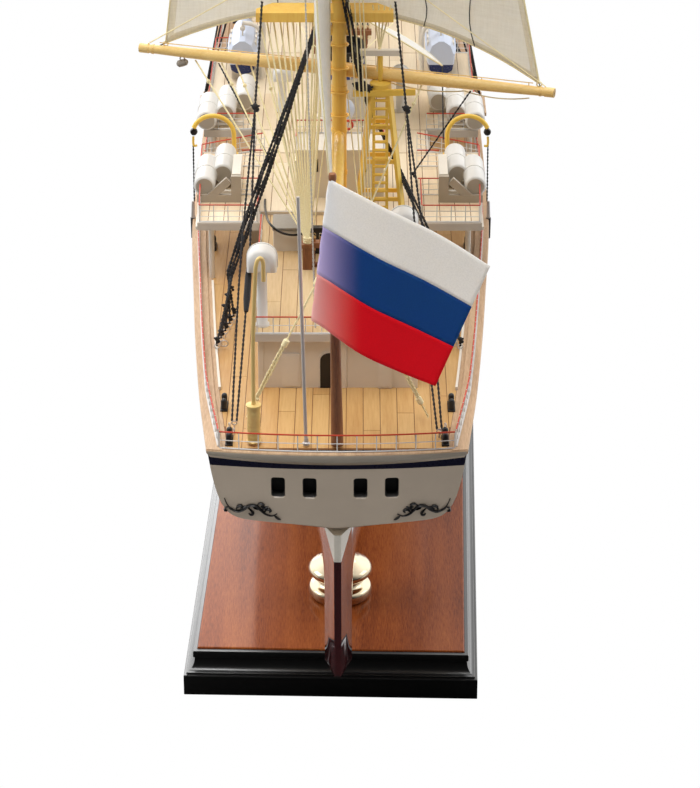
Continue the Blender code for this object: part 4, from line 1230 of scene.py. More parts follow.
def locker_and_hose():
    """The grey locker at the mast's foot, with the black hose that hangs over it."""
    skin = Skin()
    skin.block((-21.0, 107, ROOF_TOP - 0.5), (-11.8, 118.5, ROOF_TOP + 7.2))
    skin.ink = 1
    skin.block((-21.3, 106.7, ROOF_TOP + 7.0), (-11.5, 118.9, ROOF_TOP + 8.0))
    skin.make("deck_locker", [WHITE, GREY_COVER], bevel=0.3)
    hose = Skin()
    path = [(x, y, BOAT_DECK + h) for x, y, h in (
        (-24.8, 147, 0.5), (-24.6, 140, 0.9), (-24.0, 130, 2.8), (-23.2, 118, 5.6),
        (-22.3, 109, 7.9), (-21.2, 106.1, 7.7), (-19.4, 105.8, 6.3), (-17.2, 105.8, 5.3),
        (-14.1, 105.8, 4.9), (-11.0, 105.9, 5.6), (-8.8, 106.0, 6.4))]
    hose.tube(curve_through(path, 0.8), 0.38, 8)
    hose.turned([(0.5, -0.6), (0.8, -0.4), (0.8, 1.2), (0.5, 1.5)], path[-1], 10, (1, 0, 0.2))
    hose.block((-8.6, 104.8, ROOF_TOP - 0.2), (-3.4, 107.2, ROOF_TOP + 8.8))
    hose.make("deck_hose", BLACK)


BOAT_DECK_EDGE = [(26.4, STEP_AT), (26.4, WING_AT), (46, WING_AT), (47.5, 160), (47.8, 192),
                  (30, 192), (30, 214), (47.8, 214), (47.8, 297), (36, 297), (36, 392)]


# The starboard railings, as x0, y0, x1, y1 and the number of steps of each run
BOAT_DECK_RAILS = [(27, WING_AT + 0.6, 45.6, WING_AT + 0.6, 4),
                   (45.618, WING_AT + 0.6, 47.262, 183.4, 10), (26, 178.6, 33.6, 178.6, 3),
                   (47.2, 184, 26.332, 195.28, 5), (25.8, 152.5, 33.2, 152.5, 3),
                   (26.7, WING_AT + 0.6, 26.7, 152.5, 5), (30, 214.6, 47.3, 214.6, 5),
                   (47.3, 214.6, 47.3, 296.4, 20), (47.3, 296.6, 35.6, 296.6, 3),
                   (35.6, 296.6, 35.6, 391, 20), (35.6, 391.4, 8, 391.4, 8)]


def boat_deck():
    """The raised deck amidships: planks, grey edge, posts and the small house on it."""
    def half(y):
        if 191.9 < y < 214.1:
            return 29.4
        if y > 296.9:
            return 35.5
        return min(45.4 + (y - WING_AT) * 0.047, 47.2)

    skin = Skin()
    for y0, y1, run, inner in ((WING_AT + 0.6, STEP_AT, 52, 26.8), (STEP_AT + 0.5, 191.6, 52, 0),
                               (191.9, 214.1, 90, 0), (214.4, 296.6, 74, 0),
                               (296.9, 391.5, 74, 0)):
        planking(skin, y0, y1, half, lambda y: BOAT_DECK, run, inner)
    skin.ink = 1
    low, high = BOAT_DECK - 1.4, BOAT_DECK - 0.14
    for a, b, w in ((STEP_AT + 0.4, 192, 45.4), (192, 214, 29.6), (214, 296.8, 47.2),
                    (296.8, 391.7, 35.6)):
        skin.block((-w, a, low), (w, b, high))
    for side in (-1, 1):
        skin.block((side * 26.8, WING_AT + 0.4, low), (side * 45.4, STEP_AT + 0.4, high))
    skin.ink = 2
    full = BOAT_DECK_EDGE + [(-x, y) for x, y in reversed(BOAT_DECK_EDGE)]
    for (x0, y0), (x1, y1) in zip(full, full[1:] + full[:1]):
        skin.bar([(x0, y0, BOAT_DECK - 1.25), (x1, y1, BOAT_DECK - 1.25)], 0.7, 2.6)
    skin.ink = 3
    for side in (1, -1):
        for y in (132, 186, 218, 290):
            x = side * (deck_half(y) - CAP_WIDTH - MARGIN)
            skin.tube([(x, y, deck_height(y)), (x, y, BOAT_DECK - 1)], 0.9, 8)
    z = BOAT_DECK
    for x, y0, y1 in ((47, WING_AT + 0.3, 191.8), (47.4, 214.2, 296.7), (29.7, 191.7, 214.3),
                      (35.6, 296.6, 391.7)):
        skin.block((-x, y0, z - 2.5), (x, y1, z - 1.4))
    skin.block((-14.5, 150.2, z - 0.2), (14.5, 165.8, z + 16.1))
    skin.block((-15.0, 149.7, z + 16.0), (15.0, 166.3, z + 17.0))
    skin.ink = 4
    for x in (-8.1, 8.1):
        for y in (150.0, 165.4):
            skin.block((x - 0.9, y, z + 9.2), (x + 0.9, y + 0.6, z + 13.6))
    for side in (1, -1):
        for y in (155, 161):
            scuttle(skin, (side * 14.5, y, z + 11), (side, 0, 0), 1.2, 5, 4)
    skin.make("boat_deck_fine", [PLANK_BOAT, CAULK, GREY, WHITE, GLASS, BRASS], slot="maple",
              replaces=["boat_deck"], smooth=25)

    rails = Skin()
    for side in (1, -1):
        fence_runs(rails, [(side * x0, y0, side * x1, y1, count)
                           for x0, y0, x1, y1, count in BOAT_DECK_RAILS], z, 6.0)
    roof = [(-14.4, 150.4), (-14.4, 165.6), (14.4, 165.6), (14.4, 150.4)]
    fence_round(rails, roof, z + 17, 4, 4.6, 4.0)
    rails.ink = 1
    rails.ring((2.6, 165.3, z + 20), 1.5, 0.45, (0, 1, 0), 20, 8)
    rails.ink = 0
    rails.turned([(1.6, 0), (1.6, 0.5), (0.8, 1.0), (0.8, 11)], (1.6, 200, z), 16)
    rails.make("boat_deck_railings", RAIL_PAINTS, slot="white_metal")
    dome = Skin()
    dome.turned([(0.9, -3.4), (2.2, -3.2), (3.1, -1.4), (3.2, 0), (3.0, 1.2), (2.3, 2.4),
                 (1.2, 3.1), (0.2, 3.3)], (1.6, 200, z + 13.2), 24)
    dome.make("signal_dome", PALE_BLUE, smooth=60)


def ladder(skin, low, high, width, treads):
    """A sloping ladder with two sides and its treads."""
    low, high = Vector(low), Vector(high)
    for across in (-width / 2, width / 2):
        shift = Vector((across, 0, 0))
        skin.bar([low + shift, high + shift], 0.35, 1.1)
    for t in steps(0.08, 0.92, treads - 1):
        spot = low.lerp(high, t)
        skin.block((spot.x - width / 2, spot.y - 0.7, spot.z - 0.15),
                   (spot.x + width / 2, spot.y + 0.7, spot.z + 0.15))


def middle_house():
    """The long house under the boat deck, with its doors and scuttles."""
    foot = min(deck_height(y) for y in (165, 250, 385)) + 0.2
    skin = Skin()
    skin.block((-31, 165, foot - 0.3), (31, 385, BOAT_DECK - 3.8))
    for side in (1, -1):
        for y in (176, 236, 300, 362):
            side_door(skin, side, side * 31, y, deck_height(y) + 0.4, 6, 14)
        for y in (190, 202, 214, 226, 248, 260, 272, 284, 314, 326, 338, 350, 374):
            scuttle(skin, (side * 31, y, deck_height(y) + 13), (side, 0, 0), 1.5)
    for x in (-22, -11, 0, 11, 22):
        scuttle(skin, (x, 385, foot + 12), (0, 1, 0), 1.5)
        scuttle(skin, (x, 165, foot + 12), (0, -1, 0), 1.5)
    skin.make("middle_house", HOUSE_PAINTS, slot="white_paint",
              replaces=["deckhouse_mid"], bevel=0.15)


def bridge():
    """Chart house and wheelhouse with their windows, wings, railings and lamps."""
    z = BOAT_DECK
    skin = Skin()
    skin.block((-19, 345, z), (19, 385, z + 13.2))
    skin.block((-40, 361.5, z + 13.0), (40, 386.5, z + 14.6))
    skin.block((-20.5, 343.5, z + 13.0), (20.5, 362, z + 14.6))
    skin.block((-14, 350, z + 14.5), (14, 382, z + 25.6))
    skin.block((-15.2, 348.5, z + 25.4), (15.2, 384, z + 27.2))
    for side in (1, -1):
        for x, y0, y1 in ((31, 363, 363.6), (31, 385.4, 386), (39.4, 363, 386)):
            skin.block((side * x, y0, z + 14.4), (side * 40, y1, z + 19))
        skin.tube([(side * 37, 374, z - 0.2), (side * 37, 374, z + 13.2)], 1.0, 10)
        side_door(skin, side, side * 19, 354, z + 0.3, 5.4, 11)
        for y in (364, 371, 378):
            scuttle(skin, (side * 19, y, z + 8.5), (side, 0, 0), 1.4)
        for y in (354, 361, 368, 375):
            skin.ink = 2
            skin.block((side * 13.8, y - 2.4, z + 18.5), (side * 14.2, y + 2.4, z + 23.4))
            skin.ink = 0
    skin.ink = 2
    for x in steps(-11, 11, 4):
        skin.block((x - 2.2, 381.8, z + 18.5), (x + 2.2, 382.25, z + 23.4))
        skin.block((x - 2.0, 349.8, z + 18.9), (x + 2.0, 350.2, z + 23.0))
    skin.ink = 0
    for x in (-24, 24):
        ladder(skin, (x, 338, z), (x, 360, z + 13.4), 4.4, 8)
    skin.ink = 3
    skin.turned([(1.9, 0), (1.7, 3.6), (1.2, 4.2), (1.2, 5.0)], (0, 366, z + 27.2), 16)
    skin.ink = 0
    skin.tube([(0, 356, z + 27), (0, 356, z + 41)], 0.9, 10)
    skin.tube([(-6, 356, z + 37), (6, 356, z + 37)], 0.45, 6)
    skin.block((-5.2, 355.2, z + 39.6), (5.2, 356.8, z + 41.2))
    skin.make("bridge_fine", HOUSE_PAINTS, slot="white_paint",
              replaces=["bridge_house"], bevel=0.15)
    rails = Skin()
    fence_runs(rails, [(-20.5, 362, -31, 362, 3), (20.5, 362, 31, 362, 3),
                       (-31, 386, 31, 386, 8)], z + 14.6, 5.6)
    fence_runs(rails, [(-14.4, 349.5, 14.4, 349.5, 5), (-14.4, 383.4, 14.4, 383.4, 5),
                       (14.6, 349.5, 14.6, 383.4, 6), (-14.6, 349.5, -14.6, 383.4, 6)],
               z + 27.2, 5.6)
    rails.make("bridge_railings", RAIL_PAINTS, slot="white_metal")


def funnel():
    """The white funnel with its blue and black bands, whistle, pipes and ladder."""
    z = BOAT_DECK
    skin = Skin()

    def section(h, grow=0.0):
        share = h / 26
        x = 9 - share + grow
        y0, y1 = 222 - 1.5 * share - grow, 244 - 4 * share + grow
        middle, half = (y0 + y1) / 2, (y1 - y0) / 2
        ring = []
        for a in angles(40):
            c, s = math.cos(a), math.sin(a)
            ring.append((x * math.copysign(abs(c) ** 0.7, c),
                         middle + half * math.copysign(abs(s) ** 0.7, s), z + h))
        return ring

    levels = [(0, 0.5), (0.8, 0.5), (1.0, 0), (16, 0), (16.1, 0.12), (20.4, 0.12), (20.5, 0),
              (22.4, 0), (22.5, 0.2), (26.0, 0.2), (26.1, -0.5), (24.0, -0.6)]
    rings = [section(h, grow) for h, grow in levels]
    for low, high, ink in ((0, 3, 0), (3, 6, 1), (6, 8, 0), (8, 11, 2)):
        skin.ink = ink
        skin.rows(rings[low:high + 1], closed=True, capped=(low == 8))
    skin.ink = 2
    for x, y, r in ((-2.5, 228, 1.3), (2.5, 228, 1.3), (0, 235, 1.8)):
        skin.turned([(r, 0), (r, 5.2), (r * 0.8, 5.2), (r * 0.8, 3)], (x, y, z + 23.6), 14)
    skin.ink = 3
    skin.tube([(0, 221.2, z + 12), (0, 220.8, z + 27), (0, 222.4, z + 28)], 0.5, 8)
    skin.ink = 0
    for across in (-1.4, 1.4):
        skin.tube([(across + 5, 221.0, z + 1), (across + 4.6, 219.8, z + 25)], 0.22, 5)
    for h in steps(2.5, 24, 9):
        skin.tube([(3.6, 220.9 - h * 0.05, z + h), (6.3, 220.9 - h * 0.05, z + h)], 0.2, 5)
    skin.make("funnel_fine", [WHITE, BLUE, BLACK, BRASS], slot="white_paint",
              replaces=["funnel"], smooth=35)


def fore_house():
    """The house abaft the fore mast, with its doors, scuttles, roof and skylight."""
    foot = deck_height(450)
    skin = Skin()
    skin.block((-20, 425, foot - 0.5), (20, 480, foot + 17))
    skin.block((-21, 424, foot + 16.8), (21, 481, foot + 18.2))
    for side in (1, -1):
        for y in (434, 472):
            side_door(skin, side, side * 20, y, foot + 0.5, 5.5, 13)
        for y in (444, 453, 462):
            scuttle(skin, (side * 20, y, foot + 10), (side, 0, 0), 1.5)
    for x in (-10, 0, 10):
        scuttle(skin, (x, 425, foot + 11), (0, -1, 0), 1.5)
        scuttle(skin, (x, 480, foot + 11), (0, 1, 0), 1.5)
    skin.rows([[(-7, y, foot + 18), (-7, y, foot + 20), (0, y, foot + 23), (7, y, foot + 20),
                (7, y, foot + 18)] for y in (440, 462)], closed=True, capped=True)
    skin.ink = 2
    for side in (1, -1):
        for y in (444.5, 451, 457.5):
            skin.tube([(side * 3.8, y, foot + 21.3), (side * 3.9, y, foot + 21.5)], 1.5, 12)
    skin.make("fore_house", HOUSE_PAINTS, slot="white_paint",
              replaces=["deckhouse_fore"], bevel=0.15)
    rails = Skin()
    ring = [(-20.4, 424.6), (20.4, 424.6), (20.4, 480.4), (-20.4, 480.4), (-20.4, 424.6)]
    fence_round(rails, ring, foot + 18.2, 6, HULL_RAIL, POST_GAP)
    rails.make("fore_house_railing", RAIL_PAINTS, slot="white_metal")


def foredeck_gear():
    """Hatch, windlass, anchors, chains, bell and ventilators forward."""
    skin = Skin()
    z = deck_height(590)
    skin.block((-9, 580, z - 1), (9, 600, z + 4))
    skin.ink = 1
    for x in steps(-7.5, 7.5, 6):
        skin.block((x - 1.1, 580.6, z + 4), (x + 1.1, 599.4, z + 4.5))
    skin.make("fore_hatch", [WHITE, PLANK], bevel=0.15)
    gear = Skin()
    z = deck_height(645)
    half = [(1.3, 1.9), (2.7, 2.2), (2.7, 3.9), (1.4, 4.2), (1.4, 6.2), (2.4, 6.6), (2.4, 8.2),
            (1.2, 8.5)]
    gear.turned([(r, -along) for r, along in reversed(half)] + half, (0, 645, z + 4.2), 20,
                (1, 0, 0))
    for x in (-5.2, 0, 5.2):
        gear.block((x - 0.7, 643.4, z), (x + 0.7, 646.6, z + 4.6))
    for side in (1, -1):
        path = curve_through([(side * 3, 645, z + 6.8), (side * 3.4, 650, z + 3.4),
                              (side * 4.2, 657, z + 0.9),
                              (side * 5.0, 668, deck_height(668) + 0.7)], 1.5)
        for i, p in enumerate(path[:-1]):
            way = (path[i + 1] - p).normalized()
            flat = upward(1) if i % 2 else Vector((1, 0, 0))
            gear.ring(p, 0.62, 0.2, way.cross(flat), 10, 5)
    gear.ink = 1
    for side in (1, -1):
        gear.turned([(1.5, 0), (1.0, 0.6), (1.0, 7.5)], (side * 13.5, 640, deck_height(640)), 14)
    gear.ink = 2
    gear.turned([(0.3, 3.4), (0.9, 3.2), (1.4, 1.6), (1.6, 0.4), (2.1, 0)], (0, 570, z + 4), 18)
    gear.ink = 0
    for x in (-2.8, 2.8):
        gear.tube([(x, 570, deck_height(570)), (x, 570, z + 8.4)], 0.4, 8)
    gear.tube([(-3.2, 570, z + 8.2), (3.2, 570, z + 8.2)], 0.5, 8)
    gear.make("windlass_and_chains", [BLACK, WHITE, BRASS], smooth=40)
    anchors = Skin()
    for side in (1, -1):
        y, z = 668.0, 80.0
        x = side * (through(DECK_HALF, y) * 0.72)
        anchors.tube([(x, y, z + 9), (x + side * 0.6, y - 1.0, z - 4)], 0.9, 8)
        arms = ((1.0, -7, -0.5), (1.6, -4.5, -4.6), (1.6, 0, -5.4), (1.6, 3.5, -3.6),
                (1.0, 5.5, 0.8))
        anchors.tube(curve_through([(x + side * a, y + b, z + c) for a, b, c in arms], 0.8),
                     0.95, 8)
        anchors.ring((x, y, z + 10), 1.4, 0.35, (side, 0, 0))
        anchors.turned([(2.2, -0.8), (2.4, 0.3), (1.6, 0.6)], (x - side * 1.2, y + 0.3, z + 11.4),
                       16, (side, 0, 0.3))
    anchors.make("anchors", BLACK)


def stern_fittings():
    """Boat crane, whip aerial and ensign staff at the taffrail."""
    z = deck_height(6) + 0.8
    skin = Skin()
    can = [(2.2, 0), (2.2, 0.5), (1.95, 0.7)]
    for k in range(8):
        can += [(1.95, 1.0 + k * 1.25), (1.86, 1.3 + k * 1.25), (1.95, 1.6 + k * 1.25)]
    can += [(1.95, 11.2), (2.25, 11.4), (2.25, 12.0), (0.7, 12.2), (0.7, 12.6)]
    skin.turned(can, (-24.2, 4.8, z), 24)
    path = [(-24.2, 4.8, z + 12), (-24.0, 4.8, z + 34), (-23.0, 4.9, z + 55)]
    bend = [(-22.9 + 1.0 * (1 - math.cos(a)), 5.0 + 0.8 * (1 - math.cos(a)),
             z + 55 + 2.4 * math.sin(a)) for a in steps(0.3, math.pi, 8)]
    end = Vector(bend[-1])
    skin.tube(curve_through(path, 4) + bend + [end - upward(5)], 0.62, 10)
    skin.make("stern_davit_fine", GILT, slot="brass", replaces=["stern_davit"], smooth=40)
    skin = Skin()
    skin.tube([(-9.0, 3.2, z), (-9.1, 3.2, z + 2), (-10.9, 6, z + 76)], [0.62, 0.55, 0.5], 10)
    skin.turned([(1.1, 0), (1.1, 0.5), (0.7, 0.8), (0.7, 2.0)], (-9.0, 3.2, z), 14)
    skin.make("whip_aerial_fine", SILVER, slot="steel", replaces=["whip_aerial"], smooth=40)
    skin = Skin()
    foot, head = Vector((0, 3.0, z)), Vector((-1.2, 2.2, z + 84.5))
    path = [foot.lerp(head, t) for t in (0, 0.16, 0.2, 0.976, 0.98, 0.99, 1)]
    skin.tube(path, [1.85, 1.72, 1.66, 1.0, 1.15, 1.2, 1.0], 18)
    skin.make("ensign_staff_fine", BROWN, slot="brown_wood", replaces=["ensign_staff"],
              smooth=40)


def cowl(skin, x, y, z, radius=4.8, height=18.0):
    """A ventilator: a post under a hood with a round top, open forward."""
    skin.ink = 0
    skin.turned([(2.1, 0), (2.1, 0.7), (1.6, 1.2), (1.5, height), (1.9, height + 1)],
                (x, y + radius * 0.5, z), 20)
    tall = radius * 1.7

    def hood(grow, at, low=0.0):
        ring = [(x + side * radius * grow, at, z + height + low) for side in (-1, 1)]
        for a in steps(0, math.pi, 18):
            ring.append((x + radius * grow * math.cos(a), at,
                         z + height + tall * 0.42 + (tall * 0.58 * grow) * math.sin(a)))
        return ring

    shapes = [(0.55, 0.0, 0.9), (0.80, 0.35, 0.35), (0.94, 1.1, 0.1), (1.0, 2.4, 0.0),
              (1.0, radius * 1.25, 0.0), (1.05, radius * 1.25 + 0.1, -0.1),
              (1.05, radius * 1.25 + 0.6, -0.1)]
    rings = [hood(grow, y + at, low) for grow, at, low in shapes]
    skin.rows(rings, closed=True)
    skin.cap(rings[0])
    skin.ink = 1
    inner = [rings[-1], hood(0.9, y + radius * 1.25 + 0.6, 0.5), hood(0.82, y + 2.6, 0.8)]
    skin.rows(inner, closed=True)
    skin.cap(inner[-1])
    skin.ink = 0


def cowl_vents():
    """The two large ventilators on the after roof and the small ones further forward."""
    for word, x, y in (("port", -22.8, 47), ("starboard", 20.0, 77)):
        skin = Skin()
        cowl(skin, x, y, ROOF_TOP, 4.5, 17.6)
        skin.make("cowl_vent_fine_" + word, [PLASTIC, GREY], slot="white_metal",
                  replaces=["cowl_vent_" + word], smooth=50)
    skin = Skin()
    for half, y, z in ((21, 232, BOAT_DECK), (14, 336, BOAT_DECK), (13, 610, deck_height(610)),
                       (24, 404, deck_height(404))):
        for x in (-half, half):
            cowl(skin, x, y, z, 3.2, 11)
    skin.make("cowl_vents_small", [PLASTIC, RED], smooth=50)


def canister(skin, low, high, radius):
    """A liferaft canister: a white drum with bands and rounded ends."""
    low, high = Vector(low), Vector(high)
    length = (high - low).length
    middle = length * 0.5
    profile = ((0.80, 0), (0.9, 0.25), (0.97, 0.9), (0.97, middle - 0.55), (1.02, middle - 0.45),
               (1.02, middle + 0.45), (0.97, middle + 0.55), (0.97, length - 0.9),
               (0.9, length - 0.25), (0.80, length))
    skin.ink = 0
    skin.turned([(radius * share, at) for share, at in profile], low, 32, high - low)
    skin.ink = 1
    for end, a, b in ((low, -0.05, 0.1), (high, -0.1, 0.05)):
        skin.turned([(radius * 0.76, a), (radius * 0.76, b)], end, 32, high - low)
    skin.ink = 0


# Each canister's x, after end, length and height, and each cradle's x0, x1, y0, y1 and height
RAFTS = [(44.8, 147, 21.5, 5.1), (39.1, 157.5, 20.5, 5.4), (46.9, 209, 21, 5.1),
         (40.6, 216, 21, 5.3), (34.6, 229, 20, 5.1)]
RAFT_RADIUS = 3.65
RAFT_DAVIT_AT = 188
CRADLES = [(34.2, 47, 152, 153.4, 1.6), (34.2, 47, 165, 166.4, 1.6),
           (34.2, 47, 218, 219.2, 1.6), (34.2, 47, 226, 227.2, 1.6),
           (32.8, 35.7, 147.5, 166, 9.4), (31.5, 38.5, 233, 234.2, 1.5),
           (31.5, 38.5, 243, 244.2, 1.5)]


def life_rafts():
    """The liferaft canisters on their cradles, and the yellow davits abaft them."""
    z = BOAT_DECK
    for word, side in SIDES:
        skin = Skin()
        for x, y, long, up in RAFTS:
            canister(skin, (side * x, y, z + up), (side * (x - 0.3), y + long, z + up + 0.2),
                     RAFT_RADIUS)
        skin.ink = 2
        for x0, x1, y0, y1, high in CRADLES:
            skin.block((side * x0, y0, z), (side * x1, y1, z + high))
        skin.ink = 1
        skin.block((side * 32.6, 145.8, z), (side * 47.2, 147.2, z + 2.6))
        skin.block((side * 32.6, 145.7, z + 2.5), (side * 35.9, 147.6, z + 9.2))
        skin.bar([(side * 36.6, 146.6, z + 7.6), (side * 43.2, 146.6, z + 1.4)], 1.4, 2.6)
        skin.make("life_rafts_fine_" + word, [PLASTIC, BEIGE_END, WHITE], slot="white_plastic",
                  replaces=["life_rafts_" + word], smooth=35)
        skin = Skin()
        at = RAFT_DAVIT_AT
        arch = [(side * 36.5, at, z), (side * 36.5, at, z + 8)]
        arch += [(side * (36.5 + 7.1 * (1 - math.cos(a))), at, z + 8 + 6.9 * math.sin(a))
                 for a in steps(0.15, math.pi * 0.88, 12)]
        skin.tube(arch, 0.8, 12)
        skin.turned([(1.5, 0), (1.5, 1.2), (1.0, 1.6)], (side * 36.5, at, z), 16)
        tip = Vector(arch[-1])
        skin.ink = 1
        skin.turned([(0.4, -1.1), (1.1, -0.9), (1.3, 0), (1.1, 0.9), (0.4, 1.1)],
                    tip - upward(1.4), 14, (0, 1, 0))
        skin.ink = 0
        hook = [tip + Vector((side * a, 0, b)) for a, b in ((0.2, -3.2), (0.3, -5.4),
                                                            (0.0, -6.6), (-1.0, -6.4))]
        skin.tube(curve_through(hook, 0.4), 0.4, 8)
        skin.ink = 1
        skin.laid([tip + Vector((side * 0.3, 0, -6)), Vector((side * 50.6, at, 90.5))], 0.3,
                  sides=4)
        skin.tube([(side * 51.2, at, 84.5), (side * 51.2, at, 77)], [0.9, 0.8], 10)
        skin.ink = 2
        skin.tube([(side * 51.0, at, 90.6), (side * 51.2, at, 84.5)], [0.55, 0.7], 10)
        skin.make("raft_davit_fine_" + word, [ORANGE, BLACK, SILVER], slot="brass",
                  replaces=["raft_davit_" + word], smooth=40)


def lifeboats():
    """Covered boats in their davits, pale blue above and navy below."""
    z = BOAT_DECK + 2.2
    stations = [(262, 4.6, 2.0), (263, 4.85, 1.6), (265, 5.1, 1.0), (268, 5.35, 0.6),
                (272, 5.4, 0.3), (278, 5.4, 0.2), (283, 5.3, 0.5), (286, 4.95, 1.0),
                (288.5, 4.5, 1.7), (290.5, 3.8, 2.6), (292.5, 2.9, 3.8), (294, 1.8, 5.6),
                (295, 0.7, 7.5)]
    for word, side in SIDES:
        middle = side * 36.2
        skin = Skin()
        lower = []
        upper = []
        for y, half, rise in stations:
            low = [(0, rise - 0.3), (half * 0.5, rise), (half * 0.86, 2.2 + rise * 0.4),
                   (half * 0.95, 4.6 + rise * 0.3)]
            lower.append([(middle + x, y, z + h) for x, h in reversed(low)]
                         + [(middle - x, y, z + h) for x, h in low[1:]])
            top = [(half * 0.95, 4.6 + rise * 0.3), (half, 8.6), (half + 0.25, 8.8),
                   (half + 0.25, 9.4), (half * 0.96, 9.5), (half * 0.72, 12.6 - rise * 0.1),
                   (half * 0.2, 14.5 - rise * 0.2)]
            upper.append([(middle + x, y, z + h) for x, h in top]
                         + [(middle - x, y, z + h) for x, h in reversed(top)])
        skin.ink = 1
        skin.rows(lower)
        skin.cap(lower[0])
        skin.ink = 0
        skin.rows(upper)
        skin.cap(upper[0], flipped=True)
        skin.ink = 2
        for y in (270, 276, 282):
            for out in (-1, 1):
                skin.block((middle + out * 4.6 - 0.35, y - 1.6, z + 10.2),
                           (middle + out * 4.6 + 0.35, y + 1.6, z + 11.6))
        skin.ink = 3
        for y in (268, 289):
            foot = side * 29.4
            arm = curve_through([(foot, y, BOAT_DECK), (foot, y, z + 14),
                                 (foot + side * 2.3, y, z + 18.2), (middle, y, z + 19.2)], 1.5)
            skin.tube(arm, 0.8, 10)
            skin.tube([(middle, y, z + 19.0), (middle, y, z + 12.5)], 0.3, 6)
            skin.turned([(0.4, -0.9), (1.0, -0.6), (1.0, 0.6), (0.4, 0.9)],
                        (middle, y, z + 17.2), 12, (0, 1, 0))
            skin.block((middle - 4.2, y - 0.6, BOAT_DECK), (middle + 4.2, y + 0.6, z + 1.4))
        skin.make("lifeboat_fine_" + word, [PALE_BLUE, NAVY_GLOSS, WHITE, WHITE],
                  slot="white_plastic", replaces=["lifeboat_" + word], smooth=25)


def tower():
    """The yellow lattice tower with its ladder, braces and cross arm."""
    x, y, z = 13.0, 118.0, ROOF_TOP
    foot, head, tall = 8.2, 2.8, 50.0
    skin = Skin()

    def corner(sx, sy, share):
        return Vector((x + sx * (foot + (head - foot) * share),
                       y + sy * (foot * 0.55 + (head * 0.8 - foot * 0.55) * share),
                       z + tall * share))

    for sx in (-1, 1):
        for sy in (-1, 1):
            skin.bar([corner(sx, sy, 0), corner(sx, sy, 1) + Vector((0.01, 0.01, 0))], 2.5, 1.0)
    for share in (0.02, 0.3, 0.55, 0.78):
        for sy in (-1, 1):
            skin.bar([corner(-1, sy, share), corner(1, sy, share)], 0.7, 1.3)
        for sx in (-1, 1):
            skin.bar([corner(sx, -1, share), corner(sx, 1, share)], 0.7, 1.3)
    for a, b in ((0.02, 0.3), (0.3, 0.55)):
        for sx in (-1, 1):
            skin.tube([corner(sx, -1, a), corner(sx, 1, b)], 0.35, 6)
    for rail in (-2.2, 2.2):
        skin.bar([(x + rail, y - 4.8, z), (x + rail * 0.9, y - 2.9, z + tall)], 0.9, 0.5)
    for share in steps(0.03, 0.96, 17):
        h = z + tall * share
        out = -4.8 + 1.9 * share
        skin.tube([(x - 2.2, y + out, h), (x + 2.2, y + out, h)], 0.5, 6)
    skin.turned([(2.2, -1.2), (3.4, -1.0), (3.6, 1.0), (3.4, 3.0), (2.6, 3.4)],
                (x, y, z + tall), 24)
    skin.bar([(x - 8.6, y - 3.2, z + tall + 0.4), (x + 11, y - 3.2, z + tall + 0.9)], 1.2, 1.9)
    skin.tube([(x, y, z + tall + 3), (x, y, z + tall + 12)], 0.8, 10)
    skin.ink = 1
    skin.block((x - 6.5, y - 1.0, z + tall + 12), (x + 6.5, y + 1.0, z + tall + 13.8))
    skin.make("lattice_tower_fine", [ORANGE, WHITE], slot="yellow_wood",
              replaces=["lattice_tower"], smooth=35)


SCUTTLE_GAP = 13.2


def hull_scuttles():
    """Brass-rimmed round windows in two rows along the topsides."""
    skin = Skin()
    for side in (1, -1):
        for low, start, end in ((12.5, 70, 600), (26.0, 110, 590)):
            y = start
            while y < end:
                top = deck_height(y)
                z = top - low
                bottom = max(WATERLINE, through(COUNTER, y))
                share = (z - bottom) / (top - CAP_LOW - bottom)

                def skin_half(at):
                    return (through(WATER_HALF, at) + (deck_half(at) - through(WATER_HALF, at))
                            * max(share, 0.02) ** through(FULL_ABOVE, at))

                x = skin_half(y)
                slope = (skin_half(y + 1) - skin_half(y - 1)) / 2
                if share > 0.12:
                    scuttle(skin, (side * x, y, z), (side, -slope, -0.08), 1.15, 1, 0)
                y += SCUTTLE_GAP
    skin.make("hull_scuttles", [GLASS, BRASS], slot="brass", smooth=40)


def rudder():
    """The wedge-shaped rudder in cream and maroon, round along its hinge."""
    heel_at, head_at, head, edge = 18.4, 5.7, 57.3, 1.1
    axis_at, half = 31.0, 4.2

    def section(z, aft):
        ring = [(-edge, aft + 0.35), (-edge * 0.7, aft), (edge * 0.7, aft), (edge, aft + 0.35)]
        ring += [(half * math.cos(a), axis_at + half * math.sin(a))
                 for a in steps(0, math.pi, 14)]
        return [(x, y, z) for x, y in ring]

    levels = ([(0.0, 3.2), (0.5, 1.4), (1.5, 0.3)] + [(z, 0.0) for z in steps(2.5, 47, 10)])
    rings = [section(z, heel_at + (head_at - heel_at) * z / head + cut) for z, cut in levels]
    skin = Skin()
    skin.rows(rings, closed=True)
    skin.cap(rings[0], flipped=True)
    # The rudder's head in the paler cream: painted light from the floor below.
    skin.ink = 1
    top = [(x, y, head - 0.40 * (y - head_at)) for x, y, z in section(0, head_at)]
    middle = [tuple((a + b) / 2 for a, b in zip(p, q)) for p, q in zip(rings[-1], top)]
    skin.rows([rings[-1], middle, top], closed=True)
    skin.cap(top)
    skin.make("rudder_fine", [MAROON, CREAM_FLOOR_LIT], body="rudder", slot="maroon_paint",
              replaces=["rudder"], smooth=32)


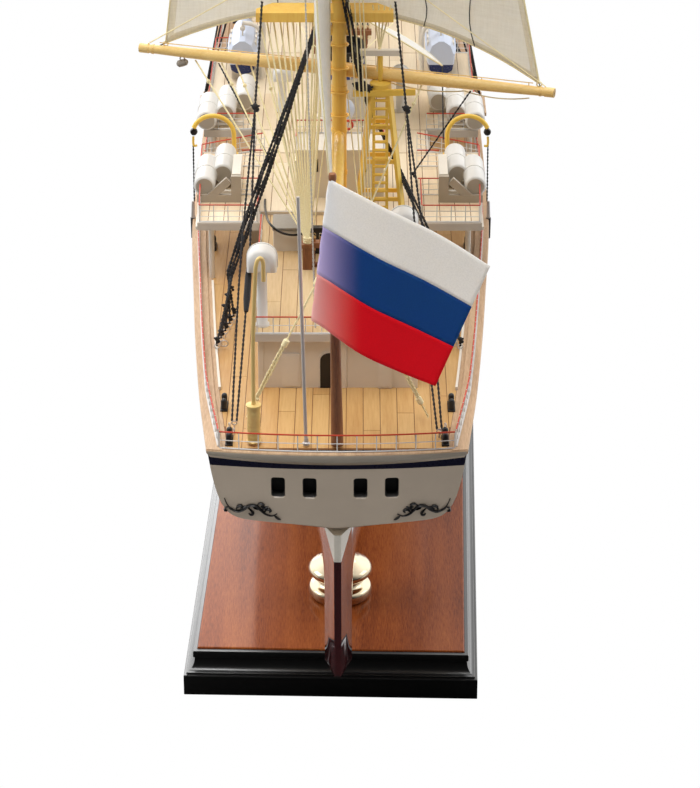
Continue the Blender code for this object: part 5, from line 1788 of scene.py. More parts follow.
def base():
    """The moulded black frame and the mahogany board, turned a little under the ship."""
    aft, forward, width, inset = 87.4, 611.0, 98.4, 4.5
    floor_z = -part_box("hull_bottom")[0].z / MM
    middle = Vector((4.0, (aft + forward) / 2, floor_z))
    turn = Matrix.Rotation(math.radians(-1.55), 3, "Z")
    wide, long = width / 2, (forward - aft) / 2

    def ring(out, height):
        w, h = wide + out, long + out
        return [middle + turn @ Vector((x, y, height))
                for x, y in ((-w, -h), (w, -h), (w, h), (-w, h))]

    profile = [(-0.3, 0.0), (0.0, 0.3), (0.0, 7.2), (-0.2, 7.5), (-0.9, 7.6), (-0.9, 8.1)]
    for k in range(7):
        a = math.pi / 2 * k / 6
        profile.append((-1.0 - 2.6 * math.sin(a), 8.2 + 4.3 * (1 - math.cos(a))))
    profile += [(-3.3, 12.7), (-3.1, 13.1), (-3.1, 14.7), (-3.3, 15.1), (-4.4, 15.4),
                (-4.5, 14.6)]
    moulding = Skin()
    moulding.rows([ring(out, height) for out, height in profile], closed=True)
    moulding.add(ring(-0.3, 0.0), [(3, 2, 1, 0)])
    moulding.make("base_frame", BLACK_LACQUER, slot="black_lacquer",
                  replaces=["base_moulding"], smooth=28)
    board = Skin()
    board.rows([ring(-inset - a, h) for a, h in ((0.0, 14.4), (0.0, 15.6), (0.2, 15.9),
                                                 (0.45, 16.0))], closed=True, capped=True)
    board.make("base_panel", MAHOGANY_BOARD, slot="mahogany", replaces=["base_board"],
               smooth=30)


def pedestals():
    """Turned brass pedestals, cut on a lathe with rounded rings."""
    knots = [(9.4, 0.0), (10.4, 0.5), (10.8, 1.6), (10.8, 3.2), (10.2, 4.3), (8.4, 5.2),
             (7.7, 6.4), (8.0, 7.6), (9.9, 8.3), (10.8, 9.4), (10.9, 10.6), (10.1, 11.9),
             (8.2, 13.2), (6.2, 14.6), (4.9, 16.6), (4.3, 19.4), (4.2, 22.4), (4.7, 25.0),
             (5.8, 26.8), (7.0, 28.2), (7.4, 29.4), (7.4, 31.6)]
    path = curve_through([(r, 0, h) for r, h in knots], 0.5)
    for word, at in (("aft", 130.0), ("forward", 560.0)):
        skin = Skin()
        skin.turned([(p.x, p.z) for p in path], (0, at, -32.0), 64)
        skin.make("pedestal_fine_" + word, BRASS, slot="brass", replaces=["pedestal_" + word],
                  smooth=60)


def ensign():
    """The three-stripe flag, a stiff printed cloth."""
    across, down = 48, 36
    skin = Skin()
    rows = [resampled(flag_row(v), across) for v in steps(0, 1, down)]
    for stripe in range(3):
        skin.ink = stripe
        first = stripe * down // 3
        skin.rows(rows[first:first + down // 3 + 1])
    thing = skin.make("ensign_cloth", [FLAG_WHITE, FLAG_BLUE, FLAG_RED], slot="flag_cloth",
                      replaces=["ensign"], smooth=80)
    thicken(thing, 0.25)


def flag_row(v):
    """One line of the cloth from the staff to the fly."""
    staff_head = Vector((-1.0, 3.0, deck_height(6) + 83.4))
    staff_low = Vector((-0.4, 3.4, deck_height(6) + 41.5))
    hoist = staff_head.lerp(staff_low, v)
    turn = Vector((-2.3 - 4.9 * v, 2.6 - 1.6 * v, POOP + 83.8 - 42.3 * v))
    front = Vector((0.5 - 4.4 * v, 0.0 - 2.4 * v, POOP + 83.0 - 42.6 * v))
    fly = Vector((42.5 - 14.8 * v, -14 - 3 * v, POOP + 64.2 - 35.2 * v))
    near = front.lerp(fly, 0.33) + Vector((0, -1.2, 0.8 - 2.4 * v))
    far = front.lerp(fly, 0.67) + Vector((0, -0.6, 1.4 - 2.6 * v))
    return curve_through([hoist, turn, front, near, far, fly], 0.8)


YARD_SLENDER = 0.015
CROSSTREES = 0.62
PINS_ABAFT = 24.9


class Mast:
    """The driving sizes of one mast: place, heights above the keel, top and yards."""

    def __init__(self, name, at, foot, truck, deck, top, yards):
        self.name = name
        self.at = at
        self.foot = foot
        self.truck = truck
        self.deck = deck
        self.seat = ROOF_TOP if name == "mizzen" else foot
        self.top_height, self.top_port, self.top_starboard = top
        self.yards = [(deck + h, length) for h, length in yards]

    def radius(self, z):
        share = min(1.0, max(0.0, (z - self.foot) / (self.truck - self.foot)))
        return 2.4 - 1.5 * share**1.6

    def share(self, share):
        return self.foot + (self.truck - self.foot) * share

    def yard_point(self, i, along, below=0.0, ahead=0.0):
        """A point on a braced yard, at a distance from its middle."""
        level = self.yards[i][0]
        return self.braced(along, self.radius(level) + 1.6 + ahead, level - below)

    def braced(self, along, out, z):
        """A point along a yard and out ahead of the mast, turned with the braced yards."""
        return Vector((along * math.cos(BRACE) + out * math.sin(BRACE),
                       self.at + out * math.cos(BRACE) - along * math.sin(BRACE), z))


TOP_YARDS = [(96, 156), (138, 138), (176, 128), (220, 106), (260, 84)]
MIZZEN = Mast("mizzen", MIZZEN_AT, BOAT_DECK, POOP + 300, POOP, (POOP + 95, 26, 17),
              [(73, 138), (124, 120), (159, 112), (199, 94), (236, 74)])
MAIN = Mast("main", MAIN_AT, BOAT_DECK, MAIN_DECK + 331, MAIN_DECK, (MAIN_DECK + 118, 19, 19),
            TOP_YARDS)
FORE = Mast("fore", FORE_AT, deck_height(FORE_AT), FORE_DECK + 325, FORE_DECK,
            (FORE_DECK + 118, 19, 19), TOP_YARDS)


def mast_and_yards(mast):
    """A pole mast with bands, top, crosstrees and truck, and its five yards."""
    skin = Skin()
    at = mast.at
    foot = mast.seat
    levels = steps(foot, mast.truck, 40)
    skin.tube([(0, at, z) for z in levels], [mast.radius(z) for z in levels], 28)
    for z in ([foot + 0.6, foot + 2.0] + steps(foot + 22, mast.top_height - 12, 3)
              + [mast.top_height + k for k in (2.5, 16, 19)] + [mast.share(CROSSTREES) - 3]
              + [mast.share(s) for s in (0.7, 0.82, 0.92)]):
        r = mast.radius(z) + 0.22
        skin.turned([(r, -0.6), (r, 0.6)], (0, at, z), 28)
    skin.turned([(0.9, 0), (1.9, 0.4), (1.9, 1.2), (0.8, 1.6)], (0, at, mast.truck - 0.6), 20)
    port, starboard, height = mast.top_port, mast.top_starboard, mast.top_height
    outline = [(x, at + y) for x, y in ((-port, -1.4), (starboard, -1.4), (starboard, 3),
                                        (starboard - 5, 9), (-port + 5, 9), (-port, 3))]
    low, high = (4.6, 1.6) if mast is MIZZEN else (2.6, 0.0)
    skin.prism(outline, height - low, height - high)
    skin.prism([(-9, at - 0.8), (9, at - 0.8), (9, at + 2.2), (-9, at + 2.2)],
               mast.share(CROSSTREES) - 1.2, mast.share(CROSSTREES))
    for side in (-1, 1):
        skin.bar([(side * 2.6, at, height - 9), (side * 4.2, at + 0.1, height - 2.6)], 1.2, 1.6)
    skin.ink = 1
    for i, (level, length) in enumerate(mast.yards):
        thick = length * YARD_SLENDER
        path = [mast.yard_point(i, s * length / 2) for s in steps(-1, 1, 24)]
        radii = [thick * (0.62 + 0.38 * (1 - abs(s) ** 2.4)) for s in steps(-1, 1, 24)]
        skin.tube(path, radii, 20)
        for s in (-1, 1):
            for a, b, grow in ((0.955, 1.0, 1.12), (0.93, 0.94, 1.12), (0.5, 0.51, 1.06),
                               (0.06, 0.075, 1.08)):
                skin.tube([mast.yard_point(i, s * a * length / 2),
                           mast.yard_point(i, s * b * length / 2)],
                          thick * (0.62 + 0.38 * (1 - a**2.4)) * grow, 20)
        middle = mast.yard_point(i, 0)
        skin.block((-0.9, at, level - 1.0), (0.9, middle.y, level + 1.0))
        for k in range(9):
            s = -0.88 + 0.22 * k
            spot = mast.yard_point(i, s * length / 2)
            skin.tube([spot + upward(thick * 0.5), spot + upward(thick + 0.5)], 0.16, 5)
        skin.tube([mast.yard_point(i, s * length / 2, -thick - 0.4) for s in steps(-0.9, 0.9, 12)],
                  0.17, 5)
    return skin


def fife_rail(at, foot):
    """The brown rail for belaying pins behind a mast."""
    skin = Skin()
    for x in (-8.6, 8.6):
        skin.turned([(1.2, 0), (1.2, 1.4), (0.8, 1.9), (1.1, 3.2), (1.1, 4.6), (0.8, 5.6),
                     (1.2, 6.2), (1.2, 6.8)], (x, at - PINS_ABAFT, foot), 16)
    skin.block((-11, at - 26.4, foot + 6.6), (11, at - 23.4, foot + 8.3))
    skin.block((-11.4, at - 28.4, foot), (-8.5, at - 25.2, foot + 8.0))
    skin.block((-11.7, at - 28.7, foot + 7.4), (-8.2, at - 24.9, foot + 8.6))
    skin.block((-1.2, at - 25, foot), (1.2, at, foot + 1.1))
    skin.block((-9, at - 25.8, foot), (9, at - 24.2, foot + 1.0))
    skin.ink = 1
    for x in steps(-9.6, 9.6, 10):
        skin.turned([(0.3, -2.2), (0.4, 1.8), (0.55, 2.2), (0.45, 3.4), (0.25, 3.7)],
                    (x, at - PINS_ABAFT, foot + 7.4), 8)
    return skin


def square_grid(mast, ahead, head, foot, head_half, foot_half, arch, belly, shift=0.0):
    """The fine surface of a braced square sail, as a function of its two directions."""
    def point(u, v):
        half = head_half + (foot_half - head_half) * v
        z = head + (foot - head) * v + arch * (1 - u * u) * v**1.5
        out = ahead + belly * (1 - u * u) * math.sin(math.pi * 0.72 * v)
        return mast.braced(u * half + shift * v, out, z)
    return point


HEM_WIDTH = 2.4


def cloth(name, point, width, height, node, body="hull"):
    """A sewn sail over a surface point(u, v), u from -1 to 1 and v from 0 at its head."""
    side_hem, end_hem = HEM_WIDTH / width, HEM_WIDTH / height
    across = [-1, -1 + 2 * side_hem] + steps(-1, 1, 30)[2:-2] + [1 - 2 * side_hem, 1]
    down = [0, end_hem] + steps(0, 1, 24)[2:-2] + [1 - end_hem, 1]
    skin = Skin()
    rows = [[point(u, v) for u in across] for v in down]
    skin.rows(rows)
    last_row, last_column = len(down) - 2, len(across) - 2
    skin.inks = [int(r in (0, last_row) or c in (0, last_column))
                 for r in range(len(down) - 1) for c in range(len(across) - 1)]
    skin.faces = [[face[0]] + face[:0:-1] for face in skin.faces]
    thing = skin.make(name, [LINEN, HEM], body=body, slot="sailcloth", replaces=[node], smooth=60)
    thicken(thing, 0.35)
    ropes = Skin()
    outline = (rows[0] + [point(1, v) for v in down[1:]] + rows[-1][-2::-1]
               + [point(-1, v) for v in reversed(down[1:-1])])
    for a, b in zip(outline, outline[1:] + outline[:1]):
        ropes.tube([a, b], 0.3, 5)
    rope = ropes.make(name + "_boltrope", ROPE_CREAM, body=body)


SAIL_NAMES = ["course", "topsail_lower", "topsail_upper", "topgallant", "royal"]


def square_sails(mast, lines, ties):
    """The mast's square sails, with their robands, buntlines, clewlines and sheets."""
    for i, (level, length) in enumerate(mast.yards):
        thick = length * YARD_SLENDER
        ahead = mast.radius(level) + 2.4
        shift = 0.0
        if i == 0:
            if mast is MIZZEN:
                continue
            foot, foot_length, arch, belly = mast.deck + 51, 0.92 * length, 8, 12
        else:
            foot = mast.yards[i - 1][0] + 4.5
            foot_length = mast.yards[i - 1][1] * 0.9
            arch, belly = (20.5, 9) if i == 1 else (7, 8)
            if mast is MIZZEN and i == 1:
                foot, shift, arch = foot - 2.2, 1.8, 14.6
        head = level - thick - 0.35
        head_half, foot_half = length * 0.45, foot_length / 2
        point = square_grid(mast, ahead, head, foot, head_half, foot_half, arch, belly, shift)
        node = SAIL_NAMES[i] + "_" + mast.name
        width, height = 2 * max(head_half, foot_half), head - foot
        cloth(node + "_cloth", point, width, height, node)
        roband = ((-0.5, -0.3), (-0.9, thick), (0.2, 2 * thick + 0.5), (1.0, thick), (0.4, -0.3))
        for u in steps(-0.97, 0.97, 18):
            spot = point(u, 0)
            ties.tube([spot + Vector((0, a, b)) for a, b in roband], 0.14, 4)
        for u, low in ((-0.9, 0.62), (-0.45, 1.0), (-0.12, 1.0), (0.36, 1.0), (0.66, 1.0)):
            path = []
            for v in steps(0.0, low, 10):
                drift = 0.03 * math.sin(6 * v + 9 * u)
                path.append(point(u + drift, v) + Vector((0, -0.45, 0)))
            lines.tube(path, 0.16, 4)
        for s in (-1, 1):
            clew = point(s, 1)
            ties.ring(clew - upward(0.2), 0.75, 0.22, (0, 1, 0), 12, 5)
            if i:
                low = mast.yard_point(i - 1, s * mast.yards[i - 1][1] / 2 * 0.94)
                lines.tube([clew, low], 0.2, 4)


def footropes(mast, skin):
    """Footropes and their stirrups under every yard."""
    marks = [0.05, 0.33, 0.62, 0.93]
    for i, (_, length) in enumerate(mast.yards):
        if mast is MIZZEN and i == 0:
            continue
        thick = length * YARD_SLENDER
        for s in (-1, 1):
            for a, b in zip(marks, marks[1:]):
                p = mast.yard_point(i, s * a * length / 2, 5.0 if a > 0.06 else 1.0)
                q = mast.yard_point(i, s * b * length / 2, 5.0 if b < 0.9 else 0.5)
                skin.tube(hanging(p, q, 1.4, 6), 0.2, 4)
            for a in marks[1:-1]:
                skin.tube([mast.yard_point(i, s * a * length / 2, thick * 0.5, -0.8),
                           mast.yard_point(i, s * a * length / 2, 5.0)], 0.16, 4)


def lifts_and_braces(mast, skin, fall_at, fall_z, after, port_fall=None):
    """Lifts from the yard ends to the mast, and braces led aft or forward and down."""
    for i, (level, length) in enumerate(mast.yards):
        for s in (-1, 1):
            tip = mast.yard_point(i, s * length * 0.48, -length * 0.012)
            if i + 1 < len(mast.yards):
                up = mast.yards[i + 1][0] - 8
            else:
                up = mast.truck - 18
            skin.tube([tip, (s * (mast.radius(up) + 0.2), mast.at, up)], 0.2, 4)
            if after:
                turn = Vector((s * 1.8, after.at + (4 if after.at < mast.at else -4), level - 16))
                turn.z = min(turn.z, after.truck - 30)
                skin.tube(hanging(tip, turn, 2.5, 10), 0.2, 4)
                fall = (s * (7.4 + 0.8 * i), fall_at, fall_z)
                if port_fall and s < 0:
                    fall = (-9.0 - 0.4 * i, *port_fall)
                skin.tube([turn, fall], 0.2, 4)


SHROUD_FEET = (9.0, 12.6, 16.2, 19.8)
BACKSTAY_FEET = (21.8, 23.8, 25.8)
SHROUD_HEAD = 112.0
STAY_HEADS = (180.5, 227.0, 266.0)
MIZZEN_STAY_HEADS = (165.0, 206.0, 242.0)
STAY_FEET = (113.0, 170.0, 222.0)


def rigging_foot(mast, side, abaft):
    y = mast.at - abaft
    return Vector((side * (deck_half(y) + 1.9), y, deck_height(y) + 2.6))


def deadeye(skin, spot):
    skin.turned([(0.76, -0.5), (0.95, -0.15), (0.95, 0.15), (0.76, 0.5)], spot, 14, (1, 0, 0))


def shrouds(mast, black, cream, wood):
    """Lower shrouds with ratlines, deadeyes, lanyards and chain plates, and the backstays."""
    for side in (-1, 1):
        lines = []
        for abaft, height in ([(y, SHROUD_HEAD) for y in SHROUD_FEET]
                              + list(zip(BACKSTAY_FEET, STAY_HEADS))):
            foot = rigging_foot(mast, side, abaft)
            head = Vector((side * 0.7, mast.at - 1.0, mast.deck + height))
            way = (head - foot).normalized()
            black.tube([foot + way * 6.5, head], 0.38, 6)
            for up in (1.0, 5.6):
                deadeye(wood, foot + way * up)
            for across in (-0.5, 0, 0.5):
                shift = Vector((0, across, 0))
                cream.tube([foot + way * 1.2 + shift, foot + way * 5.4 + shift], 0.15, 4)
            black.tube([foot - upward(1.4), foot - Vector((side * 2.1, 0, 11.0))], 0.3, 5)
            lines.append((foot, head))
        first, last = lines[0], lines[len(SHROUD_FEET) - 1]
        for t in steps(0.09, 0.92, 22):
            black.tube([first[0].lerp(first[1], t), last[0].lerp(last[1], t)], 0.16, 4)
        path = [(side * (deck_half(y) + 1.0), y, deck_height(y) + 1.6)
                for y in steps(mast.at - 27.5, mast.at - 7.3, 6)]
        wood.bar(path, 4.4, 1.2)
        edge = mast.top_starboard if side > 0 else mast.top_port
        for k in range(4):
            out = Vector((side * (edge - 0.8), mast.at - 0.6 + 1.7 * k, mast.top_height - 0.6))
            black.tube([out, (side * 1.6, mast.at - 0.4 + 0.4 * k, mast.top_height - 15)], 0.24, 5)


def standing_rigging():
    """Shrouds, backstays and stays, and the guys and bobstays of the bowsprit."""
    black, cream, wood = Skin(), Skin(), Skin()
    shrouds(MAIN, black, cream, wood)
    shrouds(FORE, black, cream, wood)
    bow = deck_height(BOW_AT)
    for mast, heads, ahead in ((MIZZEN, MIZZEN_STAY_HEADS, MAIN), (MAIN, STAY_HEADS, FORE)):
        for head, foot in zip(heads, STAY_FEET):
            level = ahead.deck + foot
            black.tube([(0, mast.at + 0.8, mast.deck + head),
                        (0, ahead.at - ahead.radius(level), level)], 0.38, 6)
    for height, end in ((112, (0, 658, deck_height(658) + 0.9)), (227, (0, 796.6, bow + 46.4)),
                        (266, (0, 799, bow + 47.3))):
        black.tube([(0, FORE_AT + 0.8, FORE_DECK + height), end], 0.38, 6)

    def spar(y):
        return bow + 20 + 25 * (y - 720) / 80

    for side in (-1, 1):
        for y in (742, 797):
            black.tube([(side * 0.8, y, spar(y)), (side * 12, 672, bow - 4)], 0.25, 5)
    for y, low in ((742, 52), (770, 60), (797, 68)):
        black.tube([(0, y, spar(y) - 1), (0, 671, low)], 0.28, 6)
    black.make("standing_rigging", ROPE_BLACK)
    cream.make("lanyards", ROPE_CREAM)
    wood.make("deadeyes_and_channels", TAN)


def knot(skin, spot, radius):
    """A tied knot with its two short ends."""
    skin.ball(spot, radius)
    skin.ball(spot + Vector((0.5, 0.1, -0.9)), radius * 0.8)
    for a in (0.6, 2.4):
        out = Vector((math.cos(a), -0.2, 0.5 * math.sin(a)))
        skin.tube([spot, spot + out * radius * 1.6], 0.32, 5)


def bundle(skin, line, spread, count, radius=0.36):
    """Ropes twisted loosely round each other, with (share of the line, spread) pairs."""
    line_length = sum((b - a).length for a, b in zip(line, line[1:]))
    spots = resampled(line, max(6, round(line_length / 2)))
    frames = frames_along(spots)
    for k in range(count):
        path = []
        for i, (here, side, up) in enumerate(frames):
            t = i / (len(frames) - 1)
            wide = through(spread, t)
            a = 2 * math.pi * (k / count) + 5.5 * t
            path.append(here + (side * math.cos(a) + up * math.sin(a) * 0.6) * wide)
        skin.laid(path, radius)


def mizzen_backstays():
    """The twisted black ropes from the mizzen mast to eyebolts in the poop deck."""
    black, silver = Skin(), Skin()
    head = Vector((-1.2, MIZZEN_AT + 1.5, POOP + 106))
    gather = Vector((-34.2, 90, POOP + 17.5))
    bundle(black, [head, gather], [(0, 0.5), (0.3, 0.65), (0.6, 1.45), (0.8, 1.6), (1, 1.2)],
           6, 0.42)
    for t in (0.36, 0.52, 0.56, 0.79):
        knot(black, head.lerp(gather, t), 0.7)
    line = curve_through([(0.8, MIZZEN_AT - 1.5, POOP + 104), (7.4, 115.6, POOP + 70.3),
                          (10.0, 120, POOP + 61), (13.6, 123.5, POOP + 52),
                          (19.5, 118, POOP + 40.3), (28.5, 100, POOP + 26.3),
                          (34.2, 90, POOP + 15)], 2)
    bundle(black, line, [(0, 1.2), (0.2, 1.8), (0.32, 0.5), (0.5, 0.6), (0.7, 1.0), (1, 1.3)], 4)
    black.ball((7.2, 115.2, POOP + 70.6), 1.9, 10)
    knot(black, Vector((9.0, 115.0, POOP + 70.0)), 1.3)
    knot(black, Vector((5.4, 115.0, POOP + 71.0)), 1.1)
    for side in (-1, 1):
        start = gather if side < 0 else Vector((34.2, 90, POOP + 15))
        for k in range(5):
            foot = Vector((side * (33.4 + 1.1 * k), 93 - 5.6 * k, deck_height(90) + 3.4))
            bend = start.lerp(foot, 0.5) + Vector((side * (0.4 - 0.25 * k), 0, 0.4))
            black.laid(curve_through([start + Vector((0.4 * k - 0.8, 0, 0)), bend, foot]), 0.46)
            knot(black, foot + upward(1.3), 0.75)
            knot(black, start.lerp(foot, 0.35 + 0.12 * (k % 3)), 0.6)
            silver.ring(foot - upward(1.2), 0.85, 0.2, (0, 1, 0.2))
            silver.tube([foot - upward(2.0), foot - upward(3.6)], 0.28, 6)
            black.tube([foot, foot - upward(1.0)], 0.4, 6)
        silver.ring((side * 35.6, 72, deck_height(72) + 2.2), 1.2, 0.24, (0, 1, 0.2), 18)
    for side, top, foot in ((-1, Vector((-24, 119, POOP + 97)), Vector((-30.3, 14.6, POOP + 2.6))),
                            (1, Vector((17.5, 119, POOP + 97)), Vector((29.8, 9.2, POOP + 2.6)))):
        split = top.lerp(foot, 0.262)
        black.laid(curve_through([top, split], 3), 0.42, 3.0)
        knot(black, split, 1.1)
        for across in (-1, 1):
            middle = split.lerp(foot, 0.5) + Vector((across * 1.3, 0, 0))
            path = curve_through([split, middle, foot + Vector((across * 0.7, 0, 0))], 3)
            black.laid(path, 0.37, 3.0)
        sleeve = [split.lerp(foot, t) + Vector((1.35, -0.3, 0)) for t in (0.50, 0.55, 0.62, 0.66)]
        black.tube(sleeve, [0.5, 1.0, 1.05, 0.7], 8)
        silver.ring(foot - upward(0.6), 0.75, 0.22, (0, 1, 0.3))
        silver.tube([foot - upward(1.2), foot - upward(2.8)], 0.25, 6)
        spot = MIZZEN.yard_point(0, side * 42, 2.4)
        end = Vector((side * 8.4, 95, ROOF_TOP + 8.5))
        middle = spot.lerp(end, 0.55)
        black.laid(curve_through([spot, middle], 3), 0.3, sides=4)
        knot(black, middle, 0.6)
    black.make("mizzen_backstays", ROPE_BLACK)
    silver.make("backstay_thimbles", SILVER, slot="steel")


FAN_FOOT = -9.9


def running_rigging():
    """Lifts, braces, halyards and the fan of falls made fast behind the mizzen mast."""
    cream, thin = Skin(), Skin()
    lifts_and_braces(MIZZEN, cream, MIZZEN_AT - PINS_ABAFT, ROOF_TOP + 8.4, None)
    lifts_and_braces(MAIN, cream, MIZZEN_AT - PINS_ABAFT, ROOF_TOP + 8.4, MIZZEN,
                     port_fall=(MIZZEN_AT - 14.0, ROOF_TOP + 0.3))
    lifts_and_braces(FORE, cream, MAIN_AT - 14, BOAT_DECK + 1, MAIN)
    foot_z = ROOF_TOP + 8.6
    for k in range(11):
        head = Vector((-25 + 2.1 * k, MIZZEN_AT + 2 + 0.8 * (k % 5), POOP + 90.6))
        foot = Vector((FAN_FOOT + 0.1 * (k - 5), MIZZEN_AT - 26.4, foot_z + 0.6))
        cream.tube([foot, head], 0.29, 5)
    for along in (-50, -41, -36, -31, -26, 26):
        x = FAN_FOOT if along < 0 else 5.0
        spot = MIZZEN.yard_point(0, along, 2.2)
        end = Vector((x, MIZZEN_AT - 25.2, foot_z))
        cream.tube([spot, end], 0.29, 5)
        cream.ball(spot.lerp(end, 0.12), 0.7, 8)
    for turn in range(3):
        cream.ring((FAN_FOOT, MIZZEN_AT - 26.8, foot_z + 0.2 + 0.7 * turn), 1.0, 0.36,
                   (0.1, 0.1, 1), 20, 6)
    for k in range(4):
        cream.tube([(10.5 + 1.9 * k, 122, POOP + 95), (12.7, 119, POOP + 81)], 0.26, 5)
    cream.tube([(12.7, 119, POOP + 82), (11.8, 119, POOP + 70)], 0.55)
    cream.turned([(0.4, -1.4), (1.1, -1.0), (1.1, 1.0), (0.4, 1.4)],
                 (12.7, 118.6, POOP + 80.4), 12)
    for mast in (MAIN, FORE):
        z = (BOAT_DECK if mast is MAIN else deck_height(mast.at)) + 8.4
        for k in range(9):
            x = -7 + 1.75 * k
            cream.tube([(x, mast.at - PINS_ABAFT, z),
                        (x * 0.3, mast.at - 1, mast.top_height - 6 + k)], 0.22, 4)
    for mast in (MIZZEN, MAIN, FORE):
        footropes(mast, thin)
    block = Skin()
    hung = MIZZEN.yard_point(0, -54.5, 3.6)
    block.turned([(0.4, -1.9), (1.1, -1.3), (1.2, 0), (1.1, 1.3), (0.4, 1.9)], hung, 14,
                 (1, 0, 0.3))
    block.ring(hung + upward(1.5), 0.7, 0.2, (0, 1, 0), 12, 5)
    block.make("yard_end_block", GREY_COVER)
    for a, b in ((16, 40), (40, 61)):
        ends = [MIZZEN.yard_point(0, along, 2.6) for along in (a, b)]
        cream.tube(hanging(*ends, 1.2), 0.2, 4)
    cream.make("running_rigging", ROPE_CREAM)
    thin.make("footropes", ROPE_BLACK)


def masts_and_sails():
    """Each mast with its yards, fife rail and square sails."""
    for mast in (MIZZEN, MAIN, FORE):
        mast_and_yards(mast).make("yards_" + mast.name, [YELLOW, YELLOW_YARD], slot="yellow_wood",
                                  replaces=["mast_" + mast.name], smooth=35)
        fife_rail(mast.at, mast.seat).make("fife_rail_" + mast.name, [BROWN, BRASS], smooth=35)
        lines, ties = Skin(), Skin()
        square_sails(mast, lines, ties)
        lines.make("sail_lines_" + mast.name, ROPE_BLACK)
        ties.make("robands_" + mast.name, ROPE_CREAM)


def stay_sail(name, head, tack, clew, sail_from, sail_to, belly):
    """A three-cornered sail hanked to its stay."""
    head_v, tack_v, clew_v = Vector(head), Vector(tack), Vector(clew)
    top, low = head_v.lerp(tack_v, sail_from), head_v.lerp(tack_v, sail_to)

    def point(u, v):
        v = 0.05 + 0.95 * v
        share = (u + 1) / 2
        luff, leech = top.lerp(low, v), top.lerp(clew_v, v)
        spot = luff.lerp(leech, share)
        spot.x += belly * math.sin(math.pi * share) * v
        return spot

    luff_length = (low - top).length
    foot_length = (clew_v - low).length
    cloth(name + "_cloth", point, foot_length, luff_length, name)
    stay = Skin()
    stay.tube([head_v, tack_v], 0.35, 8)
    for t in steps(0.02, 0.98, 16):
        stay.ring(top.lerp(low, t), 0.6, 0.14, low - top, 10, 4)
    stay.tube([clew_v, clew_v + Vector((0, -24, -18))], 0.25, 5)
    stay.make(name + "_stay", ROPE_BLACK)


def stay_sails():
    """The staysails and jibs on their stays, and the bowsprit."""
    bow = deck_height(BOW_AT)
    stay_sail("staysail_mizzen", (0, MIZZEN_AT + 9.7, POOP + 93.7), (0, 311, BOAT_DECK + 12),
              (35, 205, POOP + 46), 0.30, 0.86, 5)
    stay_sail("staysail_main", (0, MAIN_AT + 9.7, MAIN_DECK + 116.7),
              (0, 492, FORE_DECK + 14), (33, 405, MAIN_DECK + 42), 0.30, 0.88, 6)
    stay_sail("jib_inner", (0, FORE_AT + 2.7, FORE_DECK + 146), (0, 742, bow + 30.5),
              (24, 590, FORE_DECK + 40), 0.22, 0.93, 6)
    stay_sail("jib_outer", (0, FORE_AT + 2.5, FORE_DECK + 184), (0, 792, bow + 46.5),
              (26, 640, FORE_DECK + 52), 0.24, 0.93, 6)
    spar = Skin()
    path = curve_through([(0, 668, bow + 3), (0, 720, bow + 20), (0, 800, bow + 45)], 4)
    count = len(path)

    def radius(share):
        return 3.2 - 2.1 * share**1.3

    spar.tube(path, [radius(k / count) for k in range(count)], 20)
    for t in (0.2, 0.42, 0.62, 0.93):
        here = path[int(t * count)]
        way = path[int(t * count) + 1] - here
        r = radius(t) + 0.25
        spar.turned([(r, -0.8), (r, 0.8)], here, 20, way)
    spar.make("bowsprit_fine", YELLOW, slot="yellow_wood", replaces=["bowsprit"])


SPANKER_FOOT = 88
SPANKER_HEAD = 66
SPANKER_LUFF = 118
BOOM_HEIGHT = POOP + 53
GAFF_THROAT = POOP + 150


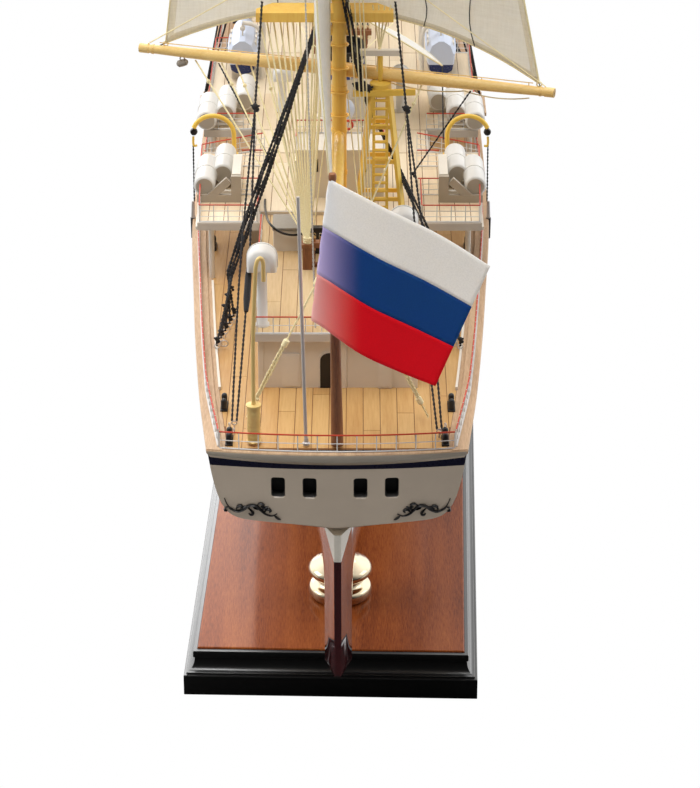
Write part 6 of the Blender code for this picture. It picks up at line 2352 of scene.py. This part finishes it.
def spanker():
    """Boom, gaff and sail on the mizzen mast, the sail's head blown a little to port."""
    fore = MIZZEN_AT - 3.1
    skin = Skin()
    line = curve_through([(0, fore, BOOM_HEIGHT), (0, 90, BOOM_HEIGHT + 0.5),
                          (-0.6, 22, BOOM_HEIGHT + 2)], 4)
    n = len(line) - 1
    skin.tube(line, [1.2 + 0.5 * math.sin(math.pi * (0.25 + 0.62 * t)) for t in steps(0, 1, n)],
              16)
    for t in (0.03, 0.5, 0.9, 0.97):
        skin.turned([(1.75, -0.7), (1.75, 0.7)], line[int(t * n)], 16, (0, 1, 0))
    skin.make("spanker_boom_fine", YELLOW, body="spanker", slot="yellow_wood",
              replaces=["spanker_boom"])
    skin = Skin()
    peak = Vector((-5.2, 44, GAFF_THROAT + 34))
    line = curve_through([(0, fore, GAFF_THROAT), (-2.2, 85, GAFF_THROAT + 16), peak], 4)
    n = len(line) - 1
    skin.tube(line, [0.8 + 0.55 * math.sin(math.pi * (0.3 + 0.55 * t)) for t in steps(0, 1, n)],
              16)
    skin.make("spanker_gaff_fine", YELLOW, body="spanker", slot="yellow_wood",
              replaces=["spanker_gaff"])

    def point(u, v):
        share = (1 - u) / 2
        up = 1 - v
        low_y = MIZZEN_AT - 5 - share * SPANKER_FOOT
        high_y = MIZZEN_AT - 5 - share * SPANKER_HEAD
        low_z = BOOM_HEIGHT + 2.4 + (MIZZEN_AT - low_y) * 0.02
        high_z = GAFF_THROAT - 1.8 + (MIZZEN_AT - 3.1 - high_y) * 0.447
        bulge = 2.4 * math.sin(math.pi * share) * math.sin(math.pi * up)
        lean = 9.5 * share * up**0.9 * (1 - 0.55 * up**3)
        return Vector((-2.9 * (1 - share) - 0.8 * share - lean - bulge,
                       low_y + (high_y - low_y) * up, low_z + (high_z - low_z) * up))

    cloth("spanker_cloth", point, SPANKER_FOOT, SPANKER_LUFF, "spanker_sail",
          body="spanker")
    hoops = Skin()
    for v in steps(0.04, 0.96, 11):
        spot = point(1, v)
        hoops.ring((0, MIZZEN_AT, spot.z), MIZZEN.radius(spot.z) + 0.6, 0.3, (0, 0.1, 1), 24, 6)
    hoops.make("mast_hoops", YELLOW, body="spanker")

    for word, side in SIDES:
        rope = Skin()
        foot = Vector((side * 26.8, 19.5, POOP + 1.5))
        top = Vector((side * 0.6, 24, BOOM_HEIGHT + 1))
        rope.laid(curve_through([foot, foot.lerp(top, 0.5), top], 3), 0.34, 2.8)
        for across in (-0.55, 0.55):
            rope.laid([foot.lerp(top, t) + Vector((across * (1 - 3 * abs(t - 0.27)), -0.4, 0.3))
                       for t in steps(0.10, 0.43, 8)], 0.36, 2.8)
        for t in (0.10, 0.44, 0.80):
            rope.turned([(0.3, -1.5), (0.95, -0.9), (0.95, 0.9), (0.3, 1.5)],
                        foot.lerp(top, t), 12, top - foot)
        thing = rope.make("boom_sheet_" + word, ROPE_CREAM, body=None)
        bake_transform(thing)
    rope = Skin()
    low, high = Vector((-6.8, 46.5, ROOF_TOP + 0.4)), Vector((-10.5, 56, GAFF_THROAT + 20))
    rope.laid(curve_through([low, low.lerp(high, 0.5), high], 3), 0.3, sides=4)
    thing = rope.make("gaff_vang", ROPE_WHITE, body=None)
    place(0, 50, low.z)
    place(0, 50, high.z)
    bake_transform(thing)


hull_shell()
transom()
transom_scrolls()
rub_mouldings()
cap_rails()
main_deck()
bollards()
hull_railings()
after_house()
locker_and_hose()
boat_deck()
middle_house()
bridge()
funnel()
fore_house()
foredeck_gear()
stern_fittings()
cowl_vents()
life_rafts()
lifeboats()
tower()
hull_scuttles()
rudder()
base()
pedestals()
ensign()
masts_and_sails()
stay_sails()
spanker()
standing_rigging()
mizzen_backstays()
running_rigging()
